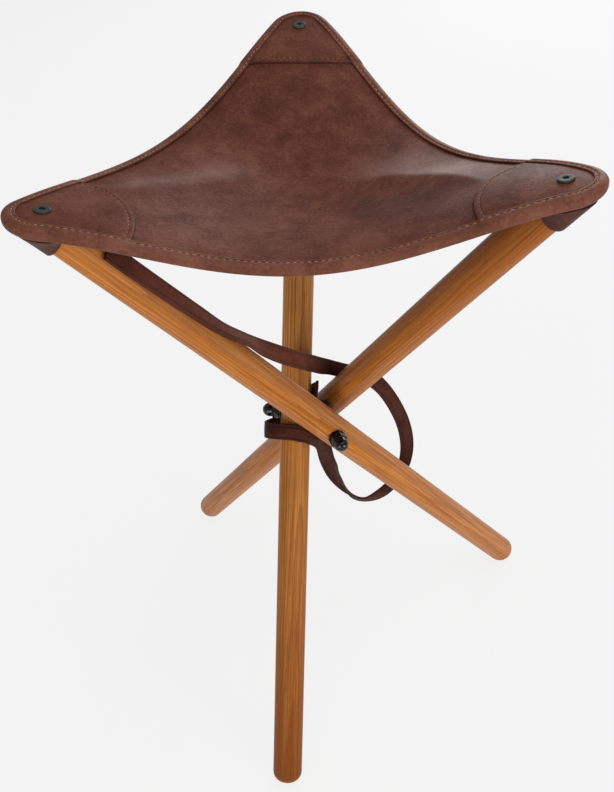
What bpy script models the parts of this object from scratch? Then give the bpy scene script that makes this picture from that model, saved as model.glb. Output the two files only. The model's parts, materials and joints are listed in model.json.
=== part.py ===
"""Three-legged folding hunting stool: oak legs on a three-way bolt, leather sling seat, leather carry strap.

Metres, +Z up. The stool stands on Z = 0 with the middle of its bounding box over the origin.
"""

import math

import bmesh
import bpy
import numpy as np
from mathutils import Matrix, Vector

# Clearance between pieces that touch, and between curved sheets that lie on each other
GAP = 0.0003
LAYER_GAP = 0.0006

# Legs
LEG_DIAMETER = 0.028
LEG_BELOW = 0.367
LEG_ABOVE = 0.331
LEG_END_ROUND = 0.010
LEG_TILT = math.radians(35.3)
FOOT_FLAT_DEPTH = 0.0008
LEG_SIDES = 28

# Three-way bolt, its spacers, washers and cap nuts
STUD_DIAMETER = 0.008
STUD_HOLE_CLEARANCE = 0.0004
BOSS_REACH = 0.006
BOSS_HEIGHT = 0.014
SPACER_DIAMETER = 0.016
SPACER_THICKNESS = 0.0024
WASHER_DIAMETER = 0.0155
WASHER_THICKNESS = 0.0012
SPOT_FACE_DEPTH = 0.0008
NUT_ACROSS_FLATS = 0.014
NUT_HEX_HEIGHT = 0.0065
NUT_NECK_DIAMETER = 0.0128
NUT_HEIGHT = 0.0160
STUD_IN_NUT = 0.0085
RING_SIDES = 20

# Leather seat: its plan, and its sag below the corner screws
SEAT_CORNER_ROUND = 0.0252
SEAT_EDGE_HOLLOW = 0.0007
SEAT_TURN = math.radians(1.0)
SEAT_THICKNESS = 0.003
SEAT_SAG = 0.0525
SEAT_EDGE_RISE = 0.0080
SEAT_CORNER_SLOPE = 0.20
FRONT_EDGE_LIFT = 0.0058
RIGHT_EDGE_LIFT = -0.0015
LEFT_EDGE_LIFT = 0.0142
EDGE_LIFT_SPAN = 0.17
CORNER_STEPS = 8
EDGE_STEPS = 12
SEAT_RINGS = 6

# Edge binding, corner patches and pockets
BINDING_WIDTH = 0.0078
BINDING_THICKNESS = 0.0018
PATCH_RADIUS = 0.066
PATCH_IN_FROM_LEG = 0.0556
BACK_PATCH_RADIUS = 0.22
BACK_PATCH_IN_FROM_LEG = 0.0454
PATCH_THICKNESS = 0.0020
PATCH_STEPS = 36
PATCH_RINGS = 3
POCKET_LENGTH = 0.0200
POCKET_WALL = 0.0022
POCKET_IN_FROM_LEG = 0.0166
POCKET_INSET = 0.0015

# Corner screws
SCREW_OUT_FROM_LEG = 0.0009
SCREW_HEAD_DIAMETER = 0.0115
SCREW_HEAD_HEIGHT = 0.0022
SCREW_RECESS_DIAMETER = 0.0032
SCREW_RECESS_DEPTH = 0.0014
SCREW_SHANK_DIAMETER = 0.0040
SCREW_LENGTH = 0.020
SCREW_HOLE_CLEARANCE = 0.0003

# Carry strap
STRAP_WIDTH = 0.015
STRAP_THICKNESS = 0.0024
STRAP_STEPS = 116

# Azimuth of each leg's arm of the three-way bolt
ARM_AZIMUTHS = {"a": math.radians(-60), "b": math.radians(60), "c": math.radians(180)}

# Fits that follow from the sizes above
LEG_RADIUS = LEG_DIAMETER / 2
ARM_LENGTH = BOSS_REACH + SPACER_THICKNESS + 2 * GAP + LEG_RADIUS
SPOT_FACE = ARM_LENGTH + LEG_RADIUS - SPOT_FACE_DEPTH
NUT_SEAT = SPOT_FACE + GAP + WASHER_THICKNESS + GAP
STUD_LENGTH = NUT_SEAT + STUD_IN_NUT
LEG_FLAT_END = LEG_RADIUS - LEG_END_ROUND
LEG_TOP_SWING = LEG_ABOVE * math.sin(LEG_TILT)
SEAT_CORNER_REACH = math.hypot(ARM_LENGTH, LEG_TOP_SWING)
SEAT_EDGE_REACH = SEAT_CORNER_REACH / 2 + SEAT_CORNER_ROUND - SEAT_EDGE_HOLLOW
PATCH_REACH_IN = SEAT_CORNER_REACH - PATCH_IN_FROM_LEG
BACK_PATCH_REACH_IN = SEAT_CORNER_REACH - BACK_PATCH_IN_FROM_LEG
POCKET_REACH_IN = SEAT_CORNER_REACH - POCKET_IN_FROM_LEG
SCREW_REACH = SEAT_CORNER_REACH + SCREW_OUT_FROM_LEG


def end_height(length):
    """Height above or below the bolt that a tilted leg's rounded end reaches."""
    straight = (length - LEG_END_ROUND) * math.cos(LEG_TILT)
    return straight + LEG_FLAT_END * math.sin(LEG_TILT) + LEG_END_ROUND


def leg_top_reach(slope):
    """How far the tilted leg's rounded top reaches towards a sheet of this slope that lies on it."""
    lean = math.atan(slope)
    length = LEG_ABOVE - LEG_END_ROUND
    out = math.hypot(ARM_LENGTH, length * math.sin(LEG_TILT))
    axis = math.cos(lean) * length * math.cos(LEG_TILT) - math.sin(lean) * out
    return axis + LEG_FLAT_END * math.sin(LEG_TILT + lean) + LEG_END_ROUND


def sheet_height(slope, reach, away):
    """Height at a reach of a sloping sheet that lies this far away from the leg's top."""
    lean = math.atan(slope)
    return (leg_top_reach(slope) + away + math.sin(lean) * reach) / math.cos(lean)


FLOOR = FOOT_FLAT_DEPTH - end_height(LEG_BELOW)
CORNER_LEAD = math.atan2(ARM_LENGTH, LEG_TOP_SWING) + SEAT_TURN
SEAT_LIFT = sheet_height(SEAT_CORNER_SLOPE, SCREW_REACH, 2 * LAYER_GAP) + SEAT_THICKNESS
SEAT_TERMS = np.linalg.solve(
    [
        [SCREW_REACH**2, SCREW_REACH**3, SCREW_REACH**4],
        [SEAT_EDGE_REACH**2, -(SEAT_EDGE_REACH**3), SEAT_EDGE_REACH**4],
        [2 * SCREW_REACH, 3 * SCREW_REACH**2, 4 * SCREW_REACH**3],
    ],
    [SEAT_SAG, SEAT_EDGE_RISE, SEAT_CORNER_SLOPE],
)


def clear_scene():
    for old in list(bpy.data.objects):
        bpy.data.objects.remove(old, do_unlink=True)


def material(name, colour, roughness, metallic=0.0):
    made = bpy.data.materials.new(name)
    made.use_nodes = True
    shader = made.node_tree.nodes["Principled BSDF"]
    shader.inputs["Base Color"].default_value = (*colour, 1.0)
    shader.inputs["Roughness"].default_value = roughness
    shader.inputs["Metallic"].default_value = metallic
    return made


def add_empty(name, parent=None, location=(0, 0, 0), turn=0.0):
    empty = bpy.data.objects.new(name, None)
    bpy.context.collection.objects.link(empty)
    empty.parent = parent
    empty.location = location
    empty.rotation_euler.z = turn
    return empty


def add_object(name, bm, finish, parent=None, smooth_angle=35):
    """Close a bmesh into a named object."""
    bmesh.ops.recalc_face_normals(bm, faces=bm.faces)
    mesh = bpy.data.meshes.new(name)
    bm.to_mesh(mesh)
    bm.free()
    mesh.shade_smooth()
    mesh.set_sharp_from_angle(angle=math.radians(smooth_angle))
    obj = bpy.data.objects.new(name, mesh)
    bpy.context.collection.objects.link(obj)
    obj.parent = parent
    if finish is None:
        obj.hide_render = True
        obj.display_type = "WIRE"
    else:
        mesh.materials.append(finish)
    return obj


def boolean(obj, other, operation="DIFFERENCE"):
    cut = obj.modifiers.new(f"{operation.lower()}_{other.name}", "BOOLEAN")
    cut.operation = operation
    cut.solver = "EXACT"
    cut.object = other


def turned(profile, sides):
    """Solid of revolution about Z from (radius, height) points; an end at radius 0 closes to a point."""
    bm = bmesh.new()
    rings = []
    for radius, height in profile:
        if radius == 0:
            rings.append([bm.verts.new((0, 0, height))])
            continue
        ring = []
        for k in range(sides):
            angle = math.tau * k / sides
            ring.append(bm.verts.new((radius * math.cos(angle), radius * math.sin(angle), height)))
        rings.append(ring)
    pairs = list(zip(rings, rings[1:]))
    if len(rings[0]) > 1:
        pairs.append((rings[-1], rings[0]))
    for low, high in pairs:
        for k in range(sides):
            below = [low[k % len(low)], low[(k + 1) % len(low)]]
            above = [high[(k + 1) % len(high)], high[k % len(high)]]
            bm.faces.new(list(dict.fromkeys(below + above)))
    return bm


def rod(radius, bottom, top):
    return [(0, bottom), (radius, bottom), (radius, top), (0, top)]


def ring_profile(outer, inner, bottom, top):
    return [(outer, bottom), (outer, top), (inner, top), (inner, bottom)]


def leg_profile(extra=0.0, steps=5):
    """Rounded stick, from the foot end to the top end; extra makes it fatter and longer all round."""
    radius = LEG_RADIUS + extra
    fillet = LEG_END_ROUND + extra
    flat = radius - fillet
    points = [(0, -LEG_BELOW - extra)]
    for k in range(steps + 1):
        angle = math.pi / 2 * k / steps
        drop = LEG_BELOW - LEG_END_ROUND + fillet * math.cos(angle)
        points.append((flat + fillet * math.sin(angle), -drop))
    for k in range(steps + 1):
        angle = math.pi / 2 * k / steps
        rise = LEG_ABOVE - LEG_END_ROUND + fillet * math.sin(angle)
        points.append((flat + fillet * math.cos(angle), rise))
    points.append((0, LEG_ABOVE + extra))
    return points


def along_arm(obj):
    """Lay a piece that was turned about Z along the arm's own X axis."""
    obj.rotation_euler.y = math.pi / 2
    return obj


def box(low, high):
    bm = bmesh.new()
    size = Vector(high) - Vector(low)
    place = Matrix.Translation((Vector(low) + Vector(high)) / 2) @ Matrix.Diagonal((*size, 1.0))
    bmesh.ops.create_cube(bm, size=1.0, matrix=place)
    return bm


def seat_height(x, y, corner=0):
    """Height of the leather's top face above the bolt, with the numbered corner on +X."""
    square = x * x + y * y
    bowl, saddle, level = SEAT_TERMS
    height = SEAT_LIFT - SEAT_SAG + bowl * square + saddle * (x**3 - 3 * x * y * y) + level * square**2
    lifts = (FRONT_EDGE_LIFT, RIGHT_EDGE_LIFT, LEFT_EDGE_LIFT)
    for k in range(3):
        angle = math.pi / 3 + math.tau * k / 3
        out = min(1.0, max(0.0, (x * math.cos(angle) + y * math.sin(angle)) / SEAT_EDGE_REACH))
        along = (y * math.cos(angle) - x * math.sin(angle)) / EDGE_LIFT_SPAN
        fade = max(0.0, 1 - along * along) ** 2
        height += lifts[(k + corner) % 3] * out * out * (3 - 2 * out) * fade
    return height


def seat_outline(inset=0.0):
    """Plan of the seat: three round corners joined by shallow hollow edges, moved in by inset."""
    spare = SEAT_CORNER_ROUND - SEAT_EDGE_REACH
    centre_far = (SEAT_CORNER_REACH**2 - spare**2) / (SEAT_CORNER_REACH + 2 * spare)
    edge_radius = centre_far - SEAT_EDGE_REACH + inset
    corner_radius = SEAT_CORNER_ROUND - inset
    corner = np.array([SEAT_CORNER_REACH, 0.0])
    hollow = centre_far * np.array([math.cos(math.pi / 3), math.sin(math.pi / 3)])
    toward = hollow - corner
    meet = math.atan2(toward[1], toward[0])
    points = []
    for k in range(-CORNER_STEPS, CORNER_STEPS + 1):
        angle = meet * k / CORNER_STEPS
        points.append(corner + corner_radius * np.array([math.cos(angle), math.sin(angle)]))
    start = meet + math.pi
    end = 2 * (math.pi / 3 + math.pi) - start
    for k in range(1, EDGE_STEPS):
        angle = start + (end - start) * k / EDGE_STEPS
        points.append(hollow + edge_radius * np.array([math.cos(angle), math.sin(angle)]))
    outline = []
    for turn in range(3):
        cos, sin = math.cos(math.tau * turn / 3), math.sin(math.tau * turn / 3)
        outline += [(cos * x - sin * y, sin * x + cos * y) for x, y in points]
    return outline


def leather_sheet(boundary, centre, rings, low, high, edge=(), corner=0):
    """Sheet that follows the seat's sag, between two offsets from its top face."""
    bm = bmesh.new()
    faces = {}
    for side, offset in (("top", high), ("bottom", low)):
        loops = [[bm.verts.new((*centre, seat_height(*centre, corner) + offset))]]
        for ring in range(1, rings + 1):
            loop = []
            for x, y in boundary:
                px = centre[0] + (x - centre[0]) * ring / rings
                py = centre[1] + (y - centre[1]) * ring / rings
                loop.append(bm.verts.new((px, py, seat_height(px, py, corner) + offset)))
            loops.append(loop)
        if edge:
            loops.append([bm.verts.new((x, y, seat_height(x, y, corner) + offset)) for x, y in edge])
        faces[side] = loops
        count = len(boundary)
        for inner, outer in zip(loops, loops[1:]):
            for k in range(count):
                near = [inner[k % len(inner)], inner[(k + 1) % len(inner)]]
                far = [outer[(k + 1) % count], outer[k]]
                bm.faces.new(list(dict.fromkeys(near + far)))
    top, bottom = faces["top"][-1], faces["bottom"][-1]
    for k in range(len(top)):
        after = (k + 1) % len(top)
        bm.faces.new([top[k], top[after], bottom[after], bottom[k]])
    return bm


def reach_to_outline(centre, angle, outline):
    """Distance from a point to a closed outline in one direction."""
    way = np.array([math.cos(angle), math.sin(angle)])
    best = math.inf
    for (ax, ay), (bx, by) in zip(outline, outline[1:] + outline[:1]):
        edge = np.array([bx - ax, by - ay])
        span = way[0] * edge[1] - way[1] * edge[0]
        if abs(span) < 1e-12:
            continue
        offset = np.array([ax - centre[0], ay - centre[1]])
        distance = (offset[0] * edge[1] - offset[1] * edge[0]) / span
        share = (offset[0] * way[1] - offset[1] * way[0]) / span
        if distance > 0 and -1e-9 <= share <= 1 + 1e-9:
            best = min(best, distance)
    return best


def patch_outline(radius, reach_in):
    """Corner patch with a round inner edge, that stops at the edge binding."""
    centre = np.array([SEAT_CORNER_REACH, 0.0])
    disc = np.array([reach_in + radius, 0.0])
    inner = seat_outline(BINDING_WIDTH + 2 * GAP)
    points = []
    for k in range(PATCH_STEPS):
        angle = math.tau * k / PATCH_STEPS
        way = np.array([math.cos(angle), math.sin(angle)])
        along = way @ (disc - centre)
        to_disc = along + math.sqrt(along**2 + radius**2 - (disc - centre) @ (disc - centre))
        points.append(tuple(centre + way * min(to_disc, reach_to_outline(centre, angle, inner))))
    return points, tuple(centre)


def edge_binding():
    """Strip folded over the seat's edge, U-shaped in section, all the way round."""
    outside = -GAP - BINDING_THICKNESS
    soft = BINDING_THICKNESS * 0.6
    over = GAP + BINDING_THICKNESS
    under = -SEAT_THICKNESS - GAP - BINDING_THICKNESS
    section = [
        (outside + soft, over),
        (BINDING_WIDTH, over),
        (BINDING_WIDTH, GAP),
        (-GAP, GAP),
        (-GAP, -SEAT_THICKNESS - GAP),
        (BINDING_WIDTH, -SEAT_THICKNESS - GAP),
        (BINDING_WIDTH, under),
        (outside + soft, under),
        (outside, under + soft),
        (outside, over - soft),
    ]
    bm = bmesh.new()
    loops = []
    for inset, offset in section:
        loop = []
        for (x, y), level in zip(seat_outline(inset), seat_outline(max(0.0, inset))):
            loop.append(bm.verts.new((x, y, seat_height(*level) + offset)))
        loops.append(loop)
    count = len(loops[0])
    for low, high in zip(loops, loops[1:] + loops[:1]):
        for k in range(count):
            after = (k + 1) % count
            bm.faces.new([low[k], low[after], high[after], high[k]])
    return bm


def leg_axis():
    """Leg of the corner that lies on +X: a point on it beside the bolt, and its direction towards the top."""
    arm = math.pi / 2 - CORNER_LEAD
    out = Vector((math.cos(arm), math.sin(arm), 0))
    swing = Vector((math.sin(arm), -math.cos(arm), 0))
    way = swing * math.sin(LEG_TILT) + Vector((0, 0, math.cos(LEG_TILT)))
    return out * ARM_LENGTH, way


def hull(points):
    bm = bmesh.new()
    verts = [bm.verts.new(p) for p in points]
    made = bmesh.ops.convex_hull(bm, input=verts)
    spare = dict.fromkeys(made["geom_interior"] + made["geom_unused"])
    bmesh.ops.delete(bm, geom=[v for v in spare if isinstance(v, bmesh.types.BMVert)], context="VERTS")
    return bm


def circle_on_leg(radius, along):
    start, way = leg_axis()
    side = way.orthogonal().normalized()
    other = way.cross(side)
    ring = []
    for k in range(LEG_SIDES):
        angle = math.tau * k / LEG_SIDES
        ring.append(start + way * along + (side * math.cos(angle) + other * math.sin(angle)) * radius)
    return ring


def pocket_points(corner, inset, reach_in, rise, radius, along):
    """Rim of a pocket under the corner's binding, and the round mouth that the leg goes in by."""
    under = -SEAT_THICKNESS - 2 * GAP - BINDING_THICKNESS
    rim = []
    for x, y in seat_outline(inset):
        if x > reach_in:
            rim.append(Vector((x, y, seat_height(x, y, corner) + under - GAP + rise)))
    return rim + circle_on_leg(radius, along)


def corner_pocket(name, corner, finish, parent):
    mouth = LEG_ABOVE - POCKET_LENGTH
    fit = LEG_RADIUS + GAP
    outside = pocket_points(corner, POCKET_INSET, POCKET_REACH_IN, 0.0, fit + POCKET_WALL, mouth)
    pocket = add_object(name, hull(outside), finish, parent)
    inset = POCKET_INSET + POCKET_WALL
    reach_in = POCKET_REACH_IN + POCKET_WALL
    inside = []
    for rise in (0.0, LEG_RADIUS):
        inside += pocket_points(corner, inset, reach_in, rise, fit, mouth - POCKET_WALL)
    boolean(pocket, add_object(f"{name}_cavity", hull(inside), None, parent))
    start, way = leg_axis()
    stick = add_object(f"{name}_leg_room", turned(leg_profile(GAP), LEG_SIDES), None, parent)
    stick.location = start
    stick.rotation_euler = way.to_track_quat("Z", "Y").to_euler()
    boolean(pocket, stick)
    return pocket


def cap_nut(name, finish, parent):
    nut = add_object(name, turned(rod(NUT_ACROSS_FLATS / math.sqrt(3), 0, NUT_HEX_HEIGHT), 6), finish, parent)
    neck = NUT_NECK_DIAMETER / 2
    straight = NUT_HEIGHT - neck
    profile = [(0, NUT_HEX_HEIGHT / 2), (neck, NUT_HEX_HEIGHT / 2), (neck, straight)]
    for k in range(1, 5):
        angle = math.pi / 2 * k / 5
        profile.append((neck * math.cos(angle), straight + neck * math.sin(angle)))
    profile.append((0, NUT_HEIGHT))
    boolean(nut, add_object(f"{name}_dome", turned(profile, RING_SIDES), None, nut), "UNION")
    bore = STUD_DIAMETER / 2 + STUD_HOLE_CLEARANCE
    hole = [(0, -GAP), (bore, -GAP), (bore, STUD_IN_NUT + GAP), (0, STUD_IN_NUT + bore / 2)]
    boolean(nut, add_object(f"{name}_thread", turned(hole, RING_SIDES), None, nut))
    nut.location.x = NUT_SEAT
    return along_arm(nut)


def corner_screw(name, finish, parent):
    head = SCREW_HEAD_DIAMETER / 2
    recess = SCREW_RECESS_DIAMETER / 2
    shank = SCREW_SHANK_DIAMETER / 2
    profile = [(0, -SCREW_LENGTH), (shank, -SCREW_LENGTH + SCREW_SHANK_DIAMETER), (shank, 0), (head, 0)]
    profile += [(head, SCREW_HEAD_HEIGHT * 0.35), (head * 0.86, SCREW_HEAD_HEIGHT * 0.78)]
    profile += [(head * 0.5, SCREW_HEAD_HEIGHT), (recess, SCREW_HEAD_HEIGHT)]
    floor = SCREW_HEAD_HEIGHT - SCREW_RECESS_DEPTH
    profile += [(recess, floor), (0, floor)]
    return add_object(name, turned(profile, RING_SIDES), finish, parent)


def screw_place():
    """Where a corner screw's head seats, and the tilt of the leather there."""
    lean = math.atan(SEAT_CORNER_SLOPE)
    return Vector((SCREW_REACH, 0, SEAT_LIFT + LAYER_GAP + PATCH_THICKNESS + GAP / math.cos(lean))), -lean


def catmull_rom(points, steps):
    """Smooth curve through route points, evenly sampled along its length."""
    padded = [2 * points[0] - points[1], *points, 2 * points[-1] - points[-2]]
    fine = []
    for k in range(1, len(padded) - 2):
        a, b, c, d = padded[k - 1 : k + 3]
        for i in range(12):
            t = i / 12
            bend = (2 * a - 5 * b + 4 * c - d) * t**2
            swing = (3 * b - a - 3 * c + d) * t**3
            fine.append(0.5 * (2 * b + (c - a) * t + bend + swing))
    fine.append(points[-1])
    fine = np.array(fine)
    length = np.concatenate([[0], np.cumsum(np.linalg.norm(np.diff(fine[:, :3], axis=0), axis=1))])
    at = np.linspace(0, length[-1], steps + 1)
    even = [np.interp(at, length, fine[:, k]) for k in range(fine.shape[1])]
    return np.stack(even, axis=1), float(length[-1])


def unit(vector):
    return np.asarray(vector, float) / np.linalg.norm(vector)


def leg_frame(arm):
    """Point, direction, upper side and arm side of one leg, in the stool's frame."""
    out = np.array([math.cos(arm), math.sin(arm), 0.0])
    swing = np.array([math.sin(arm), -math.cos(arm), 0.0])
    way = swing * math.sin(LEG_TILT) + np.array([0, 0, math.cos(LEG_TILT)])
    upper = -swing * math.cos(LEG_TILT) + np.array([0, 0, math.sin(LEG_TILT)])
    return out * ARM_LENGTH, way, upper, out


def strap_route():
    """Points of the strap's middle line, each with the way that its face looks."""
    lie = LEG_RADIUS + 3 * GAP + STRAP_THICKNESS / 2
    start, way, upper, out = leg_frame(ARM_AZIMUTHS["a"])
    route = []
    for along, turn in ((0.292, 38), (0.262, 36), (0.230, 32), (0.196, 26), (0.168, 16)):
        face = upper * math.cos(math.radians(turn)) + out * math.sin(math.radians(turn))
        route.append((start + way * along + face * lie, face))
    free = [
        ((-0.0475, -0.0560, 0.1302), (0.58, 0.12, 0.72)),
        ((-0.0378, -0.0440, 0.1120), (0.46, -0.30, 0.78)),
        ((-0.0243, -0.0290, 0.0916), (0.32, -0.62, 0.70)),
        ((-0.0111, -0.0120, 0.0716), (0.28, -0.68, 0.68)),
        ((0.0020, 0.0110, 0.0466), (0.34, -0.76, 0.50)),
        ((0.0156, 0.0320, 0.0245), (0.42, -0.86, 0.05)),
        ((0.0488, 0.0380, 0.0060), (0.62, -0.60, 0.45)),
        ((0.0713, 0.0470, -0.0439), (0.62, -0.70, 0.30)),
        ((0.0793, 0.0490, -0.0904), (0.55, -0.83, -0.02)),
        ((0.0725, 0.0460, -0.1290), (0.45, -0.88, -0.10)),
        ((0.0520, 0.0380, -0.1540), (0.10, -0.96, -0.24)),
        ((0.0300, 0.0300, -0.1540), (-0.18, -0.95, -0.20)),
        ((0.0118, 0.0200, -0.1180), (-0.15, -0.95, 0.12)),
        ((0.0035, 0.0060, -0.0740), (0.10, -0.95, 0.20)),
        ((0.0005, -0.0060, -0.0360), (0.55, -0.80, 0.20)),
    ]
    route += [(np.array(place), np.array(face)) for place, face in free]
    start, way, upper, out = leg_frame(ARM_AZIMUTHS["c"])
    right, front = -out, upper
    wrap = [(35, -0.0215, 0.0012), (62, -0.0195, 0.0003), (88, -0.0180, 0.0005), (110, -0.0174, 0.003)]
    wrap += [(132, -0.0174, 0.0070), (152, -0.0178, 0.0105), (172, -0.0180, 0.0115), (192, -0.0172, 0.0095)]
    wrap += [(215, -0.0145, 0.005), (240, -0.0085, 0.0018), (265, 0.0005, 0.0004), (290, 0.0090, 0.0003)]
    wrap += [(315, 0.0150, 0.0005), (338, 0.0185, 0.0015), (362, 0.0208, 0.0035), (385, 0.0225, 0.006)]
    for turn, along, slack in wrap:
        face = right * math.cos(math.radians(turn)) + front * math.sin(math.radians(turn))
        route.append((start + way * along + face * (lie + slack), face))
    return route


def ribbon(route, width, thickness, steps):
    """Flat strap along a smooth route, its broad side turned to the given face."""
    line, length = catmull_rom([np.concatenate([place, unit(face)]) for place, face in route], steps)
    bm = bmesh.new()
    rings = []
    for k, row in enumerate(line):
        along = unit(line[min(k + 1, steps)][:3] - line[max(k - 1, 0)][:3])
        side = unit(np.cross(along, row[3:]))
        face = np.cross(side, along)
        ring = []
        for a, b in ((1, 1), (-1, 1), (-1, -1), (1, -1)):
            ring.append(bm.verts.new(row[:3] + side * a * width / 2 + face * b * thickness / 2))
        rings.append(ring)
    for low, high in zip(rings, rings[1:]):
        for k in range(4):
            bm.faces.new([low[k], low[(k + 1) % 4], high[(k + 1) % 4], high[k]])
    bm.faces.new(rings[0])
    bm.faces.new(rings[-1])
    print(f"strap length {length:.3f} m")
    return bm


def three_way_bolt(finish, parent):
    boss_corner = BOSS_REACH / math.cos(math.pi / 6)
    half = BOSS_HEIGHT / 2
    boss = add_object("three_way_bolt", turned(rod(boss_corner, -half, half), 6), finish, parent)
    boss.rotation_euler.z = math.pi / 6
    for letter, azimuth in ARM_AZIMUTHS.items():
        arm = turned(rod(STUD_DIAMETER / 2, 0, STUD_LENGTH), RING_SIDES)
        stud = add_object(f"stud_{letter}", arm, None, parent)
        stud.rotation_euler = (0, math.pi / 2, azimuth)
        boolean(boss, stud, "UNION")


def build_leg(number, letter, azimuth, stool, floor, oak, black, nylon, leather, iron):
    pivot = add_empty(f"pivot_{letter}", stool, turn=azimuth)
    leg = add_object(f"leg_{letter}", turned(leg_profile(), LEG_SIDES), oak, pivot)
    leg.location.x = ARM_LENGTH
    leg.rotation_euler.x = LEG_TILT
    bore = STUD_DIAMETER / 2 + STUD_HOLE_CLEARANCE
    hole = add_object(f"leg_{letter}_bore", turned(rod(bore, 0, STUD_LENGTH), RING_SIDES), None, pivot)
    boolean(leg, along_arm(hole))
    spot = turned(rod(WASHER_DIAMETER / 2 + 2 * GAP, SPOT_FACE, STUD_LENGTH), RING_SIDES)
    boolean(leg, along_arm(add_object(f"leg_{letter}_spot_face", spot, None, pivot)))
    boolean(leg, floor)

    spacer_start = BOSS_REACH + GAP
    spacer = ring_profile(SPACER_DIAMETER / 2, bore, spacer_start, spacer_start + SPACER_THICKNESS)
    along_arm(add_object(f"spacer_{letter}", turned(spacer, RING_SIDES), nylon, pivot))
    washer = ring_profile(WASHER_DIAMETER / 2, bore, SPOT_FACE + GAP, SPOT_FACE + GAP + WASHER_THICKNESS)
    along_arm(add_object(f"washer_{letter}", turned(washer, RING_SIDES), black, pivot))
    cap_nut(f"cap_nut_{letter}", black, pivot)

    corner = add_empty(f"corner_{letter}", stool, turn=azimuth - math.pi / 2 + CORNER_LEAD)
    screw = corner_screw(f"corner_screw_{letter}", iron, corner)
    place, tilt = screw_place()
    screw.location = place
    screw.rotation_euler.y = tilt
    pilot_radius = SCREW_SHANK_DIAMETER / 2 + SCREW_HOLE_CLEARANCE
    pilot_end = -SCREW_LENGTH - SCREW_HOLE_CLEARANCE
    pilot = add_object(f"pilot_{letter}", turned(rod(pilot_radius, pilot_end, 0), RING_SIDES), None, screw)
    boolean(leg, pilot)
    if letter == "c":
        boundary, centre = patch_outline(BACK_PATCH_RADIUS, BACK_PATCH_REACH_IN)
    else:
        boundary, centre = patch_outline(PATCH_RADIUS, PATCH_REACH_IN)
    top = LAYER_GAP + PATCH_THICKNESS
    sheet = leather_sheet(boundary, centre, PATCH_RINGS, LAYER_GAP, top, corner=number)
    patch = add_object(f"corner_patch_{letter}", sheet, leather, corner)
    boolean(patch, pilot)
    corner_pocket(f"corner_pocket_{letter}", number, leather, corner)
    return pilot


def centre_over_origin(stool):
    """Stand the stool on Z = 0 with the middle of its box over the origin."""
    bpy.context.view_layer.update()
    graph = bpy.context.evaluated_depsgraph_get()
    low = np.full(3, np.inf)
    high = np.full(3, -np.inf)
    for obj in bpy.data.objects:
        if obj.type != "MESH" or obj.hide_render:
            continue
        shown = obj.evaluated_get(graph)
        places = np.array([shown.matrix_world @ v.co for v in shown.data.vertices])
        low = np.minimum(low, places.min(axis=0))
        high = np.maximum(high, places.max(axis=0))
    middle = (low + high) / 2
    stool.location = (-middle[0], -middle[1], -low[2])
    print("bolt centre", [round(c, 5) for c in stool.location], "box", np.round(high - low, 4).tolist())


def main():
    clear_scene()
    oak = material("oak", (0.48, 0.20, 0.05), 0.45)
    leather = material("brown_leather", (0.115, 0.046, 0.032), 0.55)
    black = material("black_steel", (0.012, 0.012, 0.013), 0.25, 0.6)
    nylon = material("black_nylon", (0.015, 0.015, 0.016), 0.45)
    iron = material("dark_iron", (0.06, 0.06, 0.05), 0.4, 0.8)
    stool = add_empty("stool")
    reach = LEG_BELOW + LEG_ABOVE
    floor = add_object("floor_cut", box((-reach, -reach, FLOOR - reach), (reach, reach, FLOOR)), None, stool)
    three_way_bolt(black, stool)
    seat_turn = add_empty("seat_turn", stool, turn=ARM_AZIMUTHS["a"] - math.pi / 2 + CORNER_LEAD)
    inner = seat_outline(BINDING_WIDTH)
    sheet = leather_sheet(inner, (0.0, 0.0), SEAT_RINGS, -SEAT_THICKNESS, 0.0, edge=seat_outline())
    panel = add_object("seat_panel", sheet, leather, seat_turn)
    for number, (letter, azimuth) in enumerate(ARM_AZIMUTHS.items()):
        boolean(panel, build_leg(number, letter, azimuth, stool, floor, oak, black, nylon, leather, iron))
    add_object("edge_binding", edge_binding(), leather, seat_turn)
    strap = ribbon(strap_route(), STRAP_WIDTH, STRAP_THICKNESS, STRAP_STEPS)
    add_object("carry_strap", strap, leather, stool)
    centre_over_origin(stool)


main()
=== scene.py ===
# %% [markdown]
# # A folding hunting stool
# Three turned oak legs cross on a three-way bolt, and a sling of waxed leather hangs between their tops.
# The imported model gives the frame: every piece below is built where the solid of the same name stands, so
# nothing has to be fitted by eye.

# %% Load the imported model
import json
import math

import bmesh
import bpy
import numpy as np
from mathutils import Matrix, Vector


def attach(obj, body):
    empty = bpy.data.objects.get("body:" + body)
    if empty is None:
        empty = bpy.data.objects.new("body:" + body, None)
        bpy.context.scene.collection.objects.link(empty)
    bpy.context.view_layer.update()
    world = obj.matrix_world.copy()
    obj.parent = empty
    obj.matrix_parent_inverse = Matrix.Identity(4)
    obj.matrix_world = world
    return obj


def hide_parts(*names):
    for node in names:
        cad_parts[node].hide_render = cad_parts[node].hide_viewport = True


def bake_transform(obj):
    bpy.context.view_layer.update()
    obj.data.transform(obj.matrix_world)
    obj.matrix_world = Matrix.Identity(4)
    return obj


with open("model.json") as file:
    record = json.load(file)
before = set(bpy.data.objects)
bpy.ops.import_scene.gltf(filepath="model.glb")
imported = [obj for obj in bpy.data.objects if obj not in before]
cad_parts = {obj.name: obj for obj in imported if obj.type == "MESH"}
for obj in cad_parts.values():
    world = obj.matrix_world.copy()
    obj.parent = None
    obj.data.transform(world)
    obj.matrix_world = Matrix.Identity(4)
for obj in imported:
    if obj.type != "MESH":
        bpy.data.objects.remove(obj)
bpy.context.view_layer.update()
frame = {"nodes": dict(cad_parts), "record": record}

HUB = Vector(frame["record"]["behaviour"]["joints"][0]["pos_m"])
bpy.ops.object.select_all(action="DESELECT")
print("solids:", len(frame["nodes"]), "crossing of the legs at", [round(v, 4) for v in HUB])

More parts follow.
